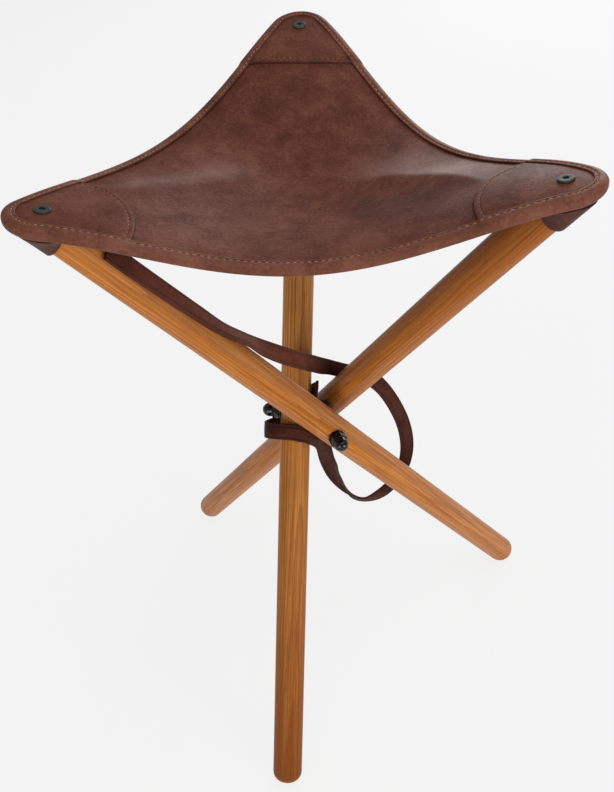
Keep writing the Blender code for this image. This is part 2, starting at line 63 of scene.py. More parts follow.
# %% [markdown]
# ## Camera
# The photograph was taken from a little above and to the right of the front. The camera's place and its three
# axes were worked out from where the leg ends and the crossing fall in the picture, so they are written down
# as a matrix rather than aimed by hand. A camera looks along its own minus Z.

# %% Camera
CAMERA_FROM_HUB = Vector((0.0981, -0.6024, 0.5782))
CAMERA_RIGHT = Vector((0.9904, 0.1247, -0.0592))
CAMERA_UP = Vector((-0.0411, 0.6758, 0.7360))
PICTURE_HEIGHT = 792
FOCAL_PIXELS = 906
SENSOR_HEIGHT = 36

bpy.ops.object.camera_add()
camera = bpy.context.object
camera.name = "photo_camera"
back = CAMERA_RIGHT.cross(CAMERA_UP).normalized()
camera.matrix_world = Matrix.Translation(HUB + CAMERA_FROM_HUB) @ Matrix(
    (CAMERA_RIGHT.normalized(), back.cross(CAMERA_RIGHT).normalized(), back)
).transposed().to_4x4()
camera.data.sensor_fit = "VERTICAL"
camera.data.sensor_height = SENSOR_HEIGHT
camera.data.lens = FOCAL_PIXELS / PICTURE_HEIGHT * SENSOR_HEIGHT
bpy.context.scene.camera = camera
print("camera at", [round(v, 4) for v in camera.location], "lens", round(camera.data.lens, 2))

# %% [markdown]
# ## How the legs and the seat are measured
# Each leg turns on one arm of the bolt, so its own axes are the arm's direction, the way the leg leans, and the
# leg's upper side. The seat has a plan with three round corners, and a height that sags between them. Both are
# short formulas, and every leather piece below asks them for its place.

# %% Legs and seat as formulas
LEG_RADIUS = 0.014
LEG_BELOW, LEG_ABOVE = 0.367, 0.331
LEG_TILT = math.radians(35.3)
ARM_LENGTH = 0.023
ARM_AZIMUTHS = {"a": math.radians(-60), "b": math.radians(60), "c": math.radians(180)}
CORNER_REACH = math.hypot(ARM_LENGTH, LEG_ABOVE * math.sin(LEG_TILT))
CORNER_ROUND = 0.0252
CORNER_ANGLES = [math.tau * k / 3 for k in range(3)]
EDGE_HOLLOW = 0.0007
EDGE_REACH = CORNER_REACH / 2 + CORNER_ROUND - EDGE_HOLLOW
SCREW_OUT = 0.0009
SCREW_REACH = CORNER_REACH + SCREW_OUT
SEAT_TURN = math.radians(1)
CORNER_LEAD = math.atan2(ARM_LENGTH, LEG_ABOVE * math.sin(LEG_TILT)) + SEAT_TURN
FIRST_CORNER = ARM_AZIMUTHS["a"] - math.pi / 2 + CORNER_LEAD
SEAT_LIFT, SEAT_SAG = 0.28069, 0.0525
EDGE_RISE = 0.0080
CORNER_SLOPE = 0.20
SEAT_THICKNESS = 0.003
EDGE_LIFTS = (0.0058, -0.0015, 0.0142)
EDGE_LIFT_SPAN = 0.17


def leg_axes(letter):
    """Start on the bolt's arm, then the leg's own directions: along it, its upper side, and out along the arm."""
    arm = ARM_AZIMUTHS[letter]
    out = Vector((math.cos(arm), math.sin(arm), 0))
    swing = Vector((math.sin(arm), -math.cos(arm), 0))
    along = swing * math.sin(LEG_TILT) + Vector((0, 0, math.cos(LEG_TILT)))
    upper = -swing * math.cos(LEG_TILT) + Vector((0, 0, math.sin(LEG_TILT)))
    return HUB + out * ARM_LENGTH, along, upper, out


BOWL, SADDLE, LEVEL = np.linalg.solve(
    [
        [SCREW_REACH**2, SCREW_REACH**3, SCREW_REACH**4],
        [EDGE_REACH**2, -(EDGE_REACH**3), EDGE_REACH**4],
        [2 * SCREW_REACH, 3 * SCREW_REACH**2, 4 * SCREW_REACH**3],
    ],
    [SEAT_SAG, EDGE_RISE, CORNER_SLOPE],
)


def ease(value):
    """Smooth step from 0 to 1."""
    value = np.clip(value, 0, 1)
    return value * value * (3 - 2 * value)


def between(value, start, rise, end, fall):
    """1 from a start to an end, with a smooth rise and fall."""
    return ease((value - start) / rise) * (1 - ease((value - end) / fall))


def bell(value, width):
    """1 at zero, falling off on both sides."""
    return np.exp(-((value / width) ** 2))


def turned(x, y, angle):
    """The point seen in axes that are turned by this angle."""
    return x * math.cos(angle) + y * math.sin(angle), y * math.cos(angle) - x * math.sin(angle)


# Corner, rise, width, middle of the pale band of wax pull-up and painted sheen, strength of the band of painted shade,
# and the crest's line: offset, slant, bow
PULL_RIDGES = (
    (0, 0.0044, 0.013, 0.010, 0.06, (-0.0385, 0.135, 0.0)),
    (1, 0.0052, 0.015, 0.022, 0.30, (0.0122, 0.598, -4.4)),
)
CREST_ROUND = 0.003
SHADE_BAND, SHADE_BAND_WIDTH = -0.037, 0.026
# Outwards from the seat's middle: where a crest and its band of painted shade start, rise, end and fall
CREST_SPAN = (0.005, 0.055, 0.105, 0.050)
SHADE_SPAN = (0.015, 0.060, 0.150, 0.045)


def pull_ridge(x, y):
    """Crests that the leather draws from the front corners: height, the pale band of wax pull-up and painted sheen
    behind, and the painted shade in front.
    """
    crest, band, dark = np.zeros_like(x), np.zeros_like(x), np.zeros_like(x)
    for corner, rise, reach, band_middle, shade, (near, slant, bow) in PULL_RIDGES:
        out, side = turned(x, y, CORNER_ANGLES[corner])
        behind = (side - near - slant * out - bow * out**2) * (1 if near > 0 else -1)
        window = between(out, *CREST_SPAN)
        crest = crest + rise * window * np.exp(-(np.hypot(behind, CREST_ROUND) - CREST_ROUND) / reach)
        band = band + window * bell(behind - band_middle, 0.75 * band_middle + CREST_ROUND)
        # Painted shade in front of the crest
        far = between(out, *SHADE_SPAN)
        dark = dark + shade * far * bell(behind - SHADE_BAND, SHADE_BAND_WIDTH)
    return crest, band, dark


def seat_top(x, y):
    """Height over the bolt of the seat's upper face, where the first corner lies on +X."""
    x, y = np.asarray(x, float), np.asarray(y, float)
    square = x * x + y * y
    height = SEAT_LIFT - SEAT_SAG + BOWL * square + SADDLE * (x**3 - 3 * x * y * y) + LEVEL * square**2
    for corner_angle, lift in zip(CORNER_ANGLES, EDGE_LIFTS):
        out, side = turned(x, y, math.pi / 3 + corner_angle)
        fade = np.maximum(0, 1 - (side / EDGE_LIFT_SPAN) ** 2) ** 2
        height = height + lift * ease(out / EDGE_REACH) * fade
    return height + pull_ridge(x, y)[0]


def to_world(x, y, height):
    """Seat plan and height over the bolt, as points of the shared frame."""
    cos, sin = math.cos(FIRST_CORNER), math.sin(FIRST_CORNER)
    x, y, height = np.broadcast_arrays(np.asarray(x, float), y, height)
    return np.stack([HUB.x + cos * x - sin * y, HUB.y + sin * x + cos * y, HUB.z + height], -1)


for letter, angle in zip("abc", CORNER_ANGLES):
    tip = to_world(SCREW_REACH * math.cos(angle), SCREW_REACH * math.sin(angle), SEAT_LIFT)
    print("corner", letter, "screw at", np.round(tip, 4))

# %% [markdown]
# ## Helpers for meshes
# Sheets, straps and seams follow formulas, so they are grids of points: the helpers turn a closed section that is
# carried along a path, or rings round a first point, into faces, and make any list of points and faces an object.
# Every object stays at the origin, with its place in its mesh, as the solids do.

# %% Mesh helpers


def only(obj):
    """Select this object alone."""
    bpy.ops.object.select_all(action="DESELECT")
    obj.select_set(True)
    bpy.context.view_layer.objects.active = obj


def piece(name, points, faces, angle=None):
    """New mesh object with its faces turned outwards and shaded smooth."""
    mesh = bpy.data.meshes.new(name)
    mesh.from_pydata([tuple(p) for p in np.asarray(points).reshape(-1, 3)], [], faces)
    made = bpy.data.objects.new(name, mesh)
    bpy.context.scene.collection.objects.link(made)
    only(made)
    bpy.ops.object.mode_set(mode="EDIT")
    bpy.ops.mesh.select_all(action="SELECT")
    bpy.ops.mesh.normals_make_consistent(inside=False)
    bpy.ops.object.mode_set(mode="OBJECT")
    if angle:
        bpy.ops.object.shade_smooth_by_angle(angle=math.radians(angle))
    else:
        bpy.ops.object.shade_smooth()
    return made


def laid_copy(master, name, place, angle):
    """Copy of a finished mesh, laid in its place."""
    made = master.copy()
    made.data = master.data.copy()
    made.name = name
    bpy.context.scene.collection.objects.link(made)
    made.data.transform(place)
    only(made)
    bpy.ops.object.shade_smooth_by_angle(angle=math.radians(angle))
    return made


def swept_faces(rows, columns):
    """Faces of a closed section with this many points, carried along a path and closed at both ends."""
    faces = []
    for i in range(rows - 1):
        for j in range(columns):
            k = (j + 1) % columns
            faces.append((i * columns + j, i * columns + k, (i + 1) * columns + k, (i + 1) * columns + j))
    last = (rows - 1) * columns
    return faces + [tuple(range(columns)), tuple(range(last + columns - 1, last - 1, -1))]


def ring_point(columns, ring, column):
    """Number of a point in a sheet that is rings of points round a first point."""
    return 1 + ring * columns + column % columns


def thick_sheet(rings, columns, strips, border):
    """Faces of such a sheet, of the same sheet below it, and of the walls along its border."""
    count = 1 + rings * columns
    upper = [(0, ring_point(columns, 0, j), ring_point(columns, 0, j + 1)) for j in range(strips)]
    for i in range(rings - 1):
        for j in range(strips):
            corners = (i, j), (i + 1, j), (i + 1, j + 1), (i, j + 1)
            upper.append(tuple(ring_point(columns, *corner) for corner in corners))
    lower = [tuple(v + count for v in face[::-1]) for face in upper]
    walls = [(a, b, b + count, a + count) for a, b in zip(border, border[1:] + border[:1])]
    return upper + lower + walls


def along_row(points):
    """Unit directions along a row of points."""
    ahead = np.gradient(points, axis=0)
    return ahead / np.linalg.norm(ahead, axis=1, keepdims=True)


def note(obj, name, values):
    """Keep one number for each point, for the material to read."""
    layer = obj.data.attributes.new(name, "FLOAT", "POINT")
    layer.data.foreach_set("value", np.asarray(values, np.float32).ravel())


def settle(obj, material, slot, *nodes):
    """Give a piece its finish and hide the solids that it stands for."""
    obj.data.materials.clear()
    obj.data.materials.append(material)
    if nodes:
        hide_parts(*nodes)
    return obj


print("helpers ready")

# %% [markdown]
# ## Helpers for materials
# A material is a tree of nodes. One helper adds a node and gives each named input a value or a link, and the
# others add the small nodes that come up again and again: a mix of two colours, a sum, a clamped range, a bump.

# %% Material helpers


def grow(tree, kind, inputs=None, **options):
    """Add a node, set its options, then set or link its inputs."""
    made = tree.nodes.new(kind)
    for option, value in options.items():
        setattr(made, option, value)
    for key, value in (inputs or {}).items():
        if isinstance(value, bpy.types.NodeSocket):
            tree.links.new(value, made.inputs[key])
        else:
            made.inputs[key].default_value = value
    return made


def mixed(tree, share, first, second):
    """Colour between two colours."""
    inputs = {0: share, 6: first, 7: second}
    return grow(tree, "ShaderNodeMix", inputs, data_type="RGBA", clamp_result=True).outputs[2]


def sums(tree, way, first, second=0.5):
    """One step of arithmetic."""
    return grow(tree, "ShaderNodeMath", {0: first, 1: second}, operation=way).outputs[0]


def times(tree, first, second):
    """Product of two numbers."""
    return sums(tree, "MULTIPLY", first, second)


def plus(tree, first, second):
    """Sum of two numbers."""
    return sums(tree, "ADD", first, second)


def ranged(tree, value, low, high, to_low=0.0, to_high=1.0):
    """Value moved from one range to another, and held inside it."""
    inputs = {"Value": value, "From Min": low, "From Max": high, "To Min": to_low, "To Max": to_high}
    return grow(tree, "ShaderNodeMapRange", inputs, clamp=True).outputs[0]


def clouds(tree, vector, scale, detail=2.0, roughness=0.5, distortion=0.0):
    """Soft noise."""
    inputs = {"Vector": vector, "Scale": scale, "Detail": detail, "Roughness": roughness, "Distortion": distortion}
    return grow(tree, "ShaderNodeTexNoise", inputs).outputs["Fac"]


def bumped(tree, height, strength, distance):
    """Normal of a surface that has this height on it."""
    inputs = {"Strength": strength, "Distance": distance, "Height": height}
    return grow(tree, "ShaderNodeBump", inputs).outputs[0]


def read(tree, name, output="Fac"):
    """Number or vector kept on the mesh."""
    return grow(tree, "ShaderNodeAttribute", attribute_name=name).outputs[output]


def blank_material(name):
    """New material with its tree, its Principled shader and the object's own coordinates."""
    material = bpy.data.materials.new(name)
    material.use_nodes = True
    tree = material.node_tree
    place = grow(tree, "ShaderNodeTexCoord").outputs["Object"]
    return material, tree, tree.nodes["Principled BSDF"], place


def feed(tree, shader, colour, roughness, normal):
    """Link what changes over a surface to its shader."""
    for name, value in (("Base Color", colour), ("Roughness", roughness), ("Normal", normal)):
        tree.links.new(value, shader.inputs[name])


print("material helpers ready")

# %% [markdown]
# ## Leather
# The seat, hem, patches, pockets and strap are one kind of leather: full grain, red-brown and waxed. Seen close
# it has a fine pebble, and further off it is cloudy, with faint veins and paler places where it is bent, which
# are partly wax pull-up and partly painted sheen. The pattern is shared, so it is a node group that gives a tone
# and a normal, and each material then chooses its colours.

# %% Leather pattern
hide = bpy.data.node_groups.new("waxed_hide", "ShaderNodeTree")
for name, way, kind in (
    ("Place", "INPUT", "Vector"), ("Depth", "INPUT", "Float"),
    ("Tone", "OUTPUT", "Float"), ("Vein", "OUTPUT", "Float"), ("Normal", "OUTPUT", "Vector"),
):
    hide.interface.new_socket(name, in_out=way, socket_type=f"NodeSocket{kind}")
hide_in = grow(hide, "NodeGroupInput")
hide_out = grow(hide, "NodeGroupOutput")
hide_place = hide_in.outputs["Place"]
pebble = grow(hide, "ShaderNodeTexVoronoi", {"Vector": hide_place, "Scale": 760.0}, feature="SMOOTH_F1").outputs[0]
pores = clouds(hide, hide_place, 1500, 3)
creases = clouds(hide, hide_place, 120, 4, 0.6, 0.6)
relief = plus(hide, times(hide, pebble, 0.55), times(hide, pores, 0.5))
relief = plus(hide, relief, times(hide, creases, 0.7))
mottle = clouds(hide, hide_place, 46, 6, 0.62, 0.4)
drift = clouds(hide, hide_place, 13, 3, 0.5, 0.3)
speckle = clouds(hide, hide_place, 420, 3, 0.7)
tone = plus(hide, times(hide, mottle, 1.15), times(hide, drift, 0.75))
tone = plus(hide, tone, times(hide, speckle, 0.90))
line = sums(hide, "ABSOLUTE", sums(hide, "SUBTRACT", clouds(hide, hide_place, 30, 4, 0.55, 1.4), 0.5))
vein = times(hide, ranged(hide, line, 0.0, 0.035, 1, 0), ranged(hide, drift, 0.45, 0.62))
hide.links.new(ranged(hide, tone, 1.07, 1.73), hide_out.inputs["Tone"])
hide.links.new(vein, hide_out.inputs["Vein"])
hide.links.new(bumped(hide, relief, hide_in.outputs["Depth"], 0.0006), hide_out.inputs["Normal"])
print("leather group:", len(hide.nodes), "nodes")

# %% [markdown]
# The colours were read from the photograph: a dark red-brown, a paler dusty brown on the bends that is partly wax
# pull-up and partly painted sheen, and painted shade along seams, cut edges and patch edges. The mesh says how near
# a point is to a seam or to an edge, so the painted shade stays with the piece when it moves.

# %% Leather materials
# Colour of the painted shade along seams, cut edges and patch edges, and in front of the right crest
SEAM_SHADE_BROWN = (0.026, 0.010, 0.008)
GRAIN_DEPTH = 0.32


def leather(name, dark, middle, pale, roughness, gloss, pull_up_and_painted_light=None, seams=True):
    """Waxed leather; the seams flag adds the painted shade that the mesh keeps, and bend is the colour of the pale wax
    pull-up and painted light that the mesh keeps.
    """
    material, tree, shader, place = blank_material(name)
    hide_node = grow(tree, "ShaderNodeGroup", {"Place": place, "Depth": GRAIN_DEPTH}, node_tree=hide)
    tone = hide_node.outputs["Tone"]
    colour = mixed(tree, ranged(tree, tone, 0.0, 0.55), (*dark, 1), (*middle, 1))
    colour = mixed(tree, ranged(tree, tone, 0.5, 1.0, 0, 0.75), colour, (*pale, 1))
    colour = mixed(tree, times(tree, hide_node.outputs["Vein"], 0.22), colour, (*pale, 1))
    # Pale wax pull-up and painted light where the mesh asks for it
    if pull_up_and_painted_light:
        share = times(tree, read(tree, "pull_up_and_painted_light"), ranged(tree, tone, 0.1, 0.9, 0.55, 1.0))
        colour = mixed(tree, times(tree, share, 0.64), colour, (*pull_up_and_painted_light, 1))
    # Painted shade along seams and edges, as the mesh keeps it
    if seams:
        colour = mixed(tree, read(tree, "painted_shade"), colour, (*SEAM_SHADE_BROWN, 1))
    polish = ranged(tree, tone, 0.1, 0.9, roughness + 0.07, roughness - 0.05)
    feed(tree, shader, colour, polish, hide_node.outputs["Normal"])
    shader.inputs["Specular IOR Level"].default_value = gloss
    return material


SEAT_BROWNS = (0.061, 0.0146, 0.0072), (0.109, 0.0302, 0.0160), (0.176, 0.0622, 0.0372)
HEM_BROWNS = (0.086, 0.0240, 0.0130), (0.142, 0.0460, 0.0260), (0.205, 0.0800, 0.0480)
POCKET_BROWNS = (0.046, 0.0140, 0.0085), (0.070, 0.0225, 0.0135), (0.104, 0.0380, 0.0240)
STRAP_BROWNS = (0.030, 0.0056, 0.0027), (0.054, 0.0108, 0.0051), (0.092, 0.0235, 0.0118)
# The seat's bend colour is pale wax pull-up and painted sheen
seat_leather = leather("seat_leather", *SEAT_BROWNS, 0.50, 0.11, pull_up_and_painted_light=(0.225, 0.128, 0.105))
hem_leather = leather("hem_leather", *HEM_BROWNS, 0.52, 0.16)
pocket_leather = leather("pocket_leather", *POCKET_BROWNS, 0.55, 0.12, seams=False)
# The strap's bend colour is painted light
strap_leather = leather("strap_leather", *STRAP_BROWNS, 0.56, 0.10, pull_up_and_painted_light=(0.220, 0.062, 0.034))
print("leather finishes:", [m.name for m in bpy.data.materials if m.name.endswith("leather")])

# %% [markdown]
# ## Carry strap
# A narrow flat strap leaves the front left corner, runs down beside its leg, passes behind the right leg, hangs
# in a loop and comes back up to the crossing, where it goes round the back leg. A strap is limp, so it is drawn
# through a list of places with the way that its face looks at each, with half a twist at the foot of the loop, and
# the section of a flat strap with soft edges is carried along. From the lowest point of the loop on, the strap
# hangs from the back leg, and that part is made as a second length of the same strap.

# %% Route of the strap
STRAP_WIDTH, STRAP_THICKNESS = 0.015, 0.0024
STRAP_GAP = 0.0009
STRAP_LIE = LEG_RADIUS + STRAP_GAP + STRAP_THICKNESS / 2
# Beside leg A: place along it and degrees round it. Hanging: place from the crossing, then the way the face looks.
# Round leg C: degrees round it, place along it, and slack.
BESIDE_LEG = ((0.292, 38), (0.262, 36), (0.230, 32), (0.196, 26), (0.168, 16))
HANGING = (
    (-0.0475, -0.0560, 0.1302, 0.58, 0.12, 0.72), (-0.0378, -0.0440, 0.1120, 0.46, -0.30, 0.78),
    (-0.0243, -0.0290, 0.0916, 0.32, -0.62, 0.70), (-0.0111, -0.0120, 0.0716, 0.28, -0.68, 0.68),
    (0.0020, 0.0110, 0.0466, 0.34, -0.76, 0.50), (0.0156, 0.0320, 0.0245, 0.42, -0.86, 0.05),
    (0.0488, 0.0380, 0.0060, 0.62, -0.60, 0.45), (0.0713, 0.0470, -0.0439, 0.62, -0.70, 0.30),
    (0.0793, 0.0490, -0.0904, 0.55, -0.83, -0.02), (0.0725, 0.0460, -0.1290, 0.45, -0.88, -0.10),
    (0.0520, 0.0380, -0.1540, 0.10, -0.96, -0.24), (0.0300, 0.0300, -0.1540, -0.08, -0.85, -0.52),
    (0.0118, 0.0200, -0.1180, -0.95, 0.01, -0.31), (0.0035, 0.0060, -0.0740, -0.38, 0.90, 0.23),
    (0.0005, -0.0060, -0.0360, -0.55, 0.80, -0.20),
)
ROUND_LEG = (
    (35, -0.0215, 0.0012), (62, -0.0195, 0.0003), (88, -0.0180, 0.0005), (110, -0.0174, 0.003),
    (132, -0.0174, 0.0070), (152, -0.0178, 0.0105), (172, -0.0180, 0.0115), (192, -0.0172, 0.0095),
    (215, -0.0145, 0.005), (240, -0.0085, 0.0018), (265, 0.0005, 0.0004), (290, 0.0090, 0.0003),
    (315, 0.0150, 0.0005), (338, 0.0185, 0.0015), (362, 0.0208, 0.0035), (385, 0.0225, 0.006),
)
LOOP_LOW = 10
ROUTE_STEPS = 320

stations = []
start, along, upper, out = leg_axes("a")
for far, turn in BESIDE_LEG:
    face = upper * math.cos(math.radians(turn)) + out * math.sin(math.radians(turn))
    stations.append([*(start + along * far + face * STRAP_LIE), *face])
for place in HANGING:
    stations.append([*(HUB + Vector(place[:3])), *Vector(place[3:]).normalized()])
start, along, upper, out = leg_axes("c")
for turn, far, slack in ROUND_LEG:
    face = upper * math.sin(math.radians(turn)) - out * math.cos(math.radians(turn))
    stations.append([*(start + along * far + face * (STRAP_LIE + slack)), *(-face)])
stations = np.array(stations)


def flowing(points, steps):
    """Smooth curve through points, sampled evenly along its first three columns."""
    padded = np.vstack([2 * points[0] - points[1], points, 2 * points[-1] - points[-2]])
    fine = []
    for k in range(len(points) - 1):
        before, here, there, after = padded[k : k + 4]
        for t in np.linspace(0, 1, 24, endpoint=False):
            fine.append(
                0.5 * (2 * here + (there - before) * t + (2 * before - 5 * here + 4 * there - after) * t**2
                       + (3 * here - before - 3 * there + after) * t**3)
            )
    fine = np.array(fine + [points[-1]])
    travelled = np.concatenate([[0], np.cumsum(np.linalg.norm(np.diff(fine[:, :3], axis=0), axis=1))])
    even = np.linspace(0, travelled[-1], steps)
    return np.stack([np.interp(even, travelled, fine[:, k]) for k in range(points.shape[1])], 1), travelled[-1]


route, route_length = flowing(stations, ROUTE_STEPS)
print("strap length", round(route_length, 4))

# %% Strap pieces
SOFT_EDGE = 0.0007
GROOVE_IN, GROOVE_HALF, GROOVE_DEPTH = 0.0023, 0.0004, 0.00028
CROWN = 0.00008
# Heights over the crossing where painted light on the strap starts, rises, ends and falls
LIT_SPAN = (0.035, 0.06, 0.20, 0.06)
half_wide, half_thick = STRAP_WIDTH / 2, STRAP_THICKNESS / 2
groove = half_wide - GROOVE_IN
quarter = (
    (half_wide, half_thick - SOFT_EDGE),
    (half_wide - 0.3 * SOFT_EDGE, half_thick - 0.3 * SOFT_EDGE),
    (half_wide - SOFT_EDGE, half_thick),
    (groove + GROOVE_HALF, half_thick),
    (groove, half_thick - GROOVE_DEPTH),
    (groove - GROOVE_HALF, half_thick),
    (0.35 * half_wide, half_thick + CROWN),
)
strap_section = []
for side, face in ((1, 1), (-1, 1), (-1, -1), (1, -1)):
    corner = [(side * across, face * up) for across, up in quarter]
    strap_section += corner if side * face > 0 else corner[::-1]
strap_section = np.array(strap_section)


def strap_piece(name, length):
    """Length of flat strap along stations of place and face."""
    places, faces = length[:, :3], length[:, 3:]
    ahead = along_row(places)
    faces = faces - ahead * np.sum(faces * ahead, 1, keepdims=True)
    faces /= np.linalg.norm(faces, axis=1, keepdims=True)
    across = np.cross(ahead, faces)
    grid = places[:, None] + across[:, None] * strap_section[:, :1] + faces[:, None] * strap_section[:, 1:]
    made = piece(name, grid, swept_faces(len(places), len(strap_section)), 50)
    from_middle = np.abs(strap_section[:, 0])
    # Painted shade in the creased groove and on the cut edges
    painted_shade = np.maximum(0.55 * bell(from_middle - groove, 0.0005), 0.5 * (from_middle > half_wide - 0.0004))
    note(made, "painted_shade", np.tile(painted_shade, len(places)))
    # Painted light on the strap's diagonal length, where the seat shades it
    worn_and_lit = between(places[:, 2] - HUB.z, *LIT_SPAN)
    note(made, "pull_up_and_painted_light", np.repeat(worn_and_lit, len(strap_section)))
    return settle(made, strap_leather, "brown_leather", "carry_strap")


loop_low = stations[len(BESIDE_LEG) + LOOP_LOW, :3]
turn_starts = int(np.argmin(np.linalg.norm(route[:, :3] - loop_low, axis=1)))
strap = strap_piece("carry_strap_run", route[: turn_starts + 1])
strap_turn = strap_piece("carry_strap_turn", route[turn_starts:])
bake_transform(strap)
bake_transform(strap_turn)

# %% [markdown]
# ## Oak
# The legs are turned from straight-grained oak and oiled to a honey colour. On a round leg the growth rings show
# as long stripes on two sides and as arched figures on the other two. The pattern is three-dimensional: rings
# around a heart that lies outside the leg, so it wraps the rod as real wood does. Each leg keeps its own wood
# coordinates on its mesh, so the grain runs along it and no two legs match. The mesh also says where painted
# shade darkens the wood, where it is pale and grey as dry wood with painted sheen, and where painted light
# brightens it.

# %% Oak material
RINGS_PER_METRE = 390.0
oak, tree, shader, _ = blank_material("honey_oak")
wood = read(tree, "wood", "Vector")


def along_grain(tree, wood, stretch, scale, detail, roughness=0.5):
    """Noise drawn out along the leg."""
    drawn = grow(tree, "ShaderNodeVectorMath", {0: wood, 1: (1, 1, stretch)}, operation="MULTIPLY").outputs[0]
    return clouds(tree, drawn, scale, detail, roughness)


across_x, across_y, lengthwise = grow(tree, "ShaderNodeSeparateXYZ", {0: wood}).outputs
rings = sums(tree, "SQRT", plus(tree, sums(tree, "POWER", across_x, 2.0), sums(tree, "POWER", across_y, 2.0)))
wander = along_grain(tree, wood, 0.10, 26, 2)
curl = along_grain(tree, wood, 0.22, 60, 2)
for sway, share in ((wander, 0.0170), (curl, 0.0022), (lengthwise, 0.012)):
    rings = plus(tree, rings, times(tree, sway, share))
year = sums(tree, "FRACT", times(tree, rings, RINGS_PER_METRE))
late = times(tree, ranged(tree, year, 0.35, 0.93), ranged(tree, year, 0.95, 1.0, 1, 0))
early = ranged(tree, year, 0.02, 0.30, 1, 0)
fibre = along_grain(tree, wood, 0.012, 900, 3, 0.6)
pore = ranged(tree, along_grain(tree, wood, 0.022, 1300, 2, 0.6), 0.53, 0.64)
pore = times(tree, pore, ranged(tree, early, 0, 1, 0.40, 1.0))
streak = ranged(tree, along_grain(tree, wood, 0.02, 330, 3, 0.55), 0.58, 0.68)
board = along_grain(tree, wood, 0.35, 14, 3)

stripe = ranged(tree, fibre, 0.36, 0.64)
honey = mixed(tree, stripe, (0.540, 0.172, 0.021, 1), (0.860, 0.335, 0.056, 1))
lit_honey = mixed(tree, stripe, (0.700, 0.300, 0.072, 1), (1.000, 0.560, 0.180, 1))
dry_sheen_wood = mixed(tree, stripe, (0.290, 0.140, 0.082, 1), (0.560, 0.300, 0.190, 1))
# Painted light: a brighter honey on the top of leg C, where the seat shades it
colour = mixed(tree, read(tree, "pale"), honey, lit_honey)
colour = mixed(tree, ranged(tree, board, 0.35, 0.7, 0.0, 0.5), colour, (0.430, 0.130, 0.019, 1))
# Grain marks, then painted shade towards the feet and under the seat, and darker wood round the bore
for mask, share, tint in (
    (late, 0.56, (0.250, 0.075, 0.013, 1)),
    (streak, 0.60, (0.170, 0.048, 0.010, 1)),
    (pore, 0.66, (0.130, 0.038, 0.009, 1)),
    (read(tree, "painted_shade_and_bore"), 0.85, (0.150, 0.031, 0.003, 1)),
):
    colour = mixed(tree, times(tree, mask, share), colour, tint)
# Pale grey towards the feet: dry wood with painted sheen
colour = mixed(tree, read(tree, "dry_and_sheen"), colour, dry_sheen_wood)
furrow = sums(tree, "SUBTRACT", times(tree, fibre, 0.35), pore)
feed(tree, shader, colour, ranged(tree, fibre, 0.3, 0.7, 0.46, 0.36), bumped(tree, furrow, 0.22, 0.0003))
shader.inputs["Specular IOR Level"].default_value = 0.09
print("oak:", len(tree.nodes), "nodes")

# %% [markdown]
# ## Legs
# A leg is a rod with rounded ends, bored across for its arm of the bolt, with a shallow flat cut where the washer
# sits and a small flat worn on the foot. By hand this is a cylinder whose end edges are bevelled, two Boolean
# cuts, and a bisect at the floor. It is made standing at the origin and then laid in place.

# %% Legs
BORE_RADIUS = 0.0042
SPOT_FACE, SPOT_RADIUS, SPOT_CUT = 0.0362, 0.0090, 0.02
END_ROUND = 0.0099
FLOOR_CUT = 0.0001
LEG_HEARTS = {"a": (0.052, 0.031, 0.3), "b": (-0.046, 0.038, 1.1), "c": (0.024, -0.058, 2.2)}
# Painted shade, dry wood with painted sheen, and painted light at each leg's foot and top
SHADE_FOOT = {"a": 0.38, "b": 0.25, "c": 0.98}
SHADE_TOP = {"a": 0.24, "b": 0.74, "c": 0.0}
DRY_SHEEN_FOOT = {"a": 0.34, "b": 0.52, "c": 0.0}
DRY_SHEEN_TOP = {"a": 0.10, "b": 0.0, "c": 0.0}
PAINTED_LIGHT_TOP = {"a": 0.0, "b": 0.0, "c": 1.0}
# Darker wood round the bore, and how far that reaches
DARK_BORE, BORE_DARK_REACH = 0.5, 0.013


def modify(obj, kind, **settings):
    """Add a modifier, set it and apply it."""
    only(obj)
    step = obj.modifiers.new("step", kind)
    for setting, value in settings.items():
        setattr(step, setting, value)
    bpy.ops.object.modifier_apply(modifier="step")


def cut_away(target, cutter):
    """Boolean difference, with the cutter removed after it."""
    modify(target, "BOOLEAN", object=cutter, operation="DIFFERENCE", solver="EXACT")
    bpy.data.objects.remove(cutter, do_unlink=True)


def fix_place(obj):
    """Put the object's place, turn and scale into its mesh."""
    only(obj)
    bpy.ops.object.transform_apply(location=True, rotation=True, scale=True)


def rod(radius, length, sides, at=(0, 0, 0), turn=(0, 0, 0)):
    """Cylinder primitive, the start of most hard pieces."""
    bpy.ops.object.select_all(action="DESELECT")
    bpy.ops.mesh.primitive_cylinder_add(vertices=sides, radius=radius, depth=length, location=at, rotation=turn)
    return bpy.context.object


def round_rims(obj, width, segments, low=None, high=None):
    """Bevel the edges that lie on a flat end of the shape."""
    bpy.ops.object.mode_set(mode="EDIT")
    bpy.ops.mesh.select_mode(type="EDGE")
    mesh = bmesh.from_edit_mesh(obj.data)
    for edge in mesh.edges:
        heights = [v.co.z for v in edge.verts]
        level = abs(heights[0] - heights[1]) < 1e-6
        edge.select_set(level and any(end is not None and abs(heights[0] - end) < 1e-6 for end in (low, high)))
    bmesh.update_edit_mesh(obj.data)
    bpy.ops.mesh.bevel(offset=width, segments=segments, affect="EDGES")
    bpy.ops.object.mode_set(mode="OBJECT")


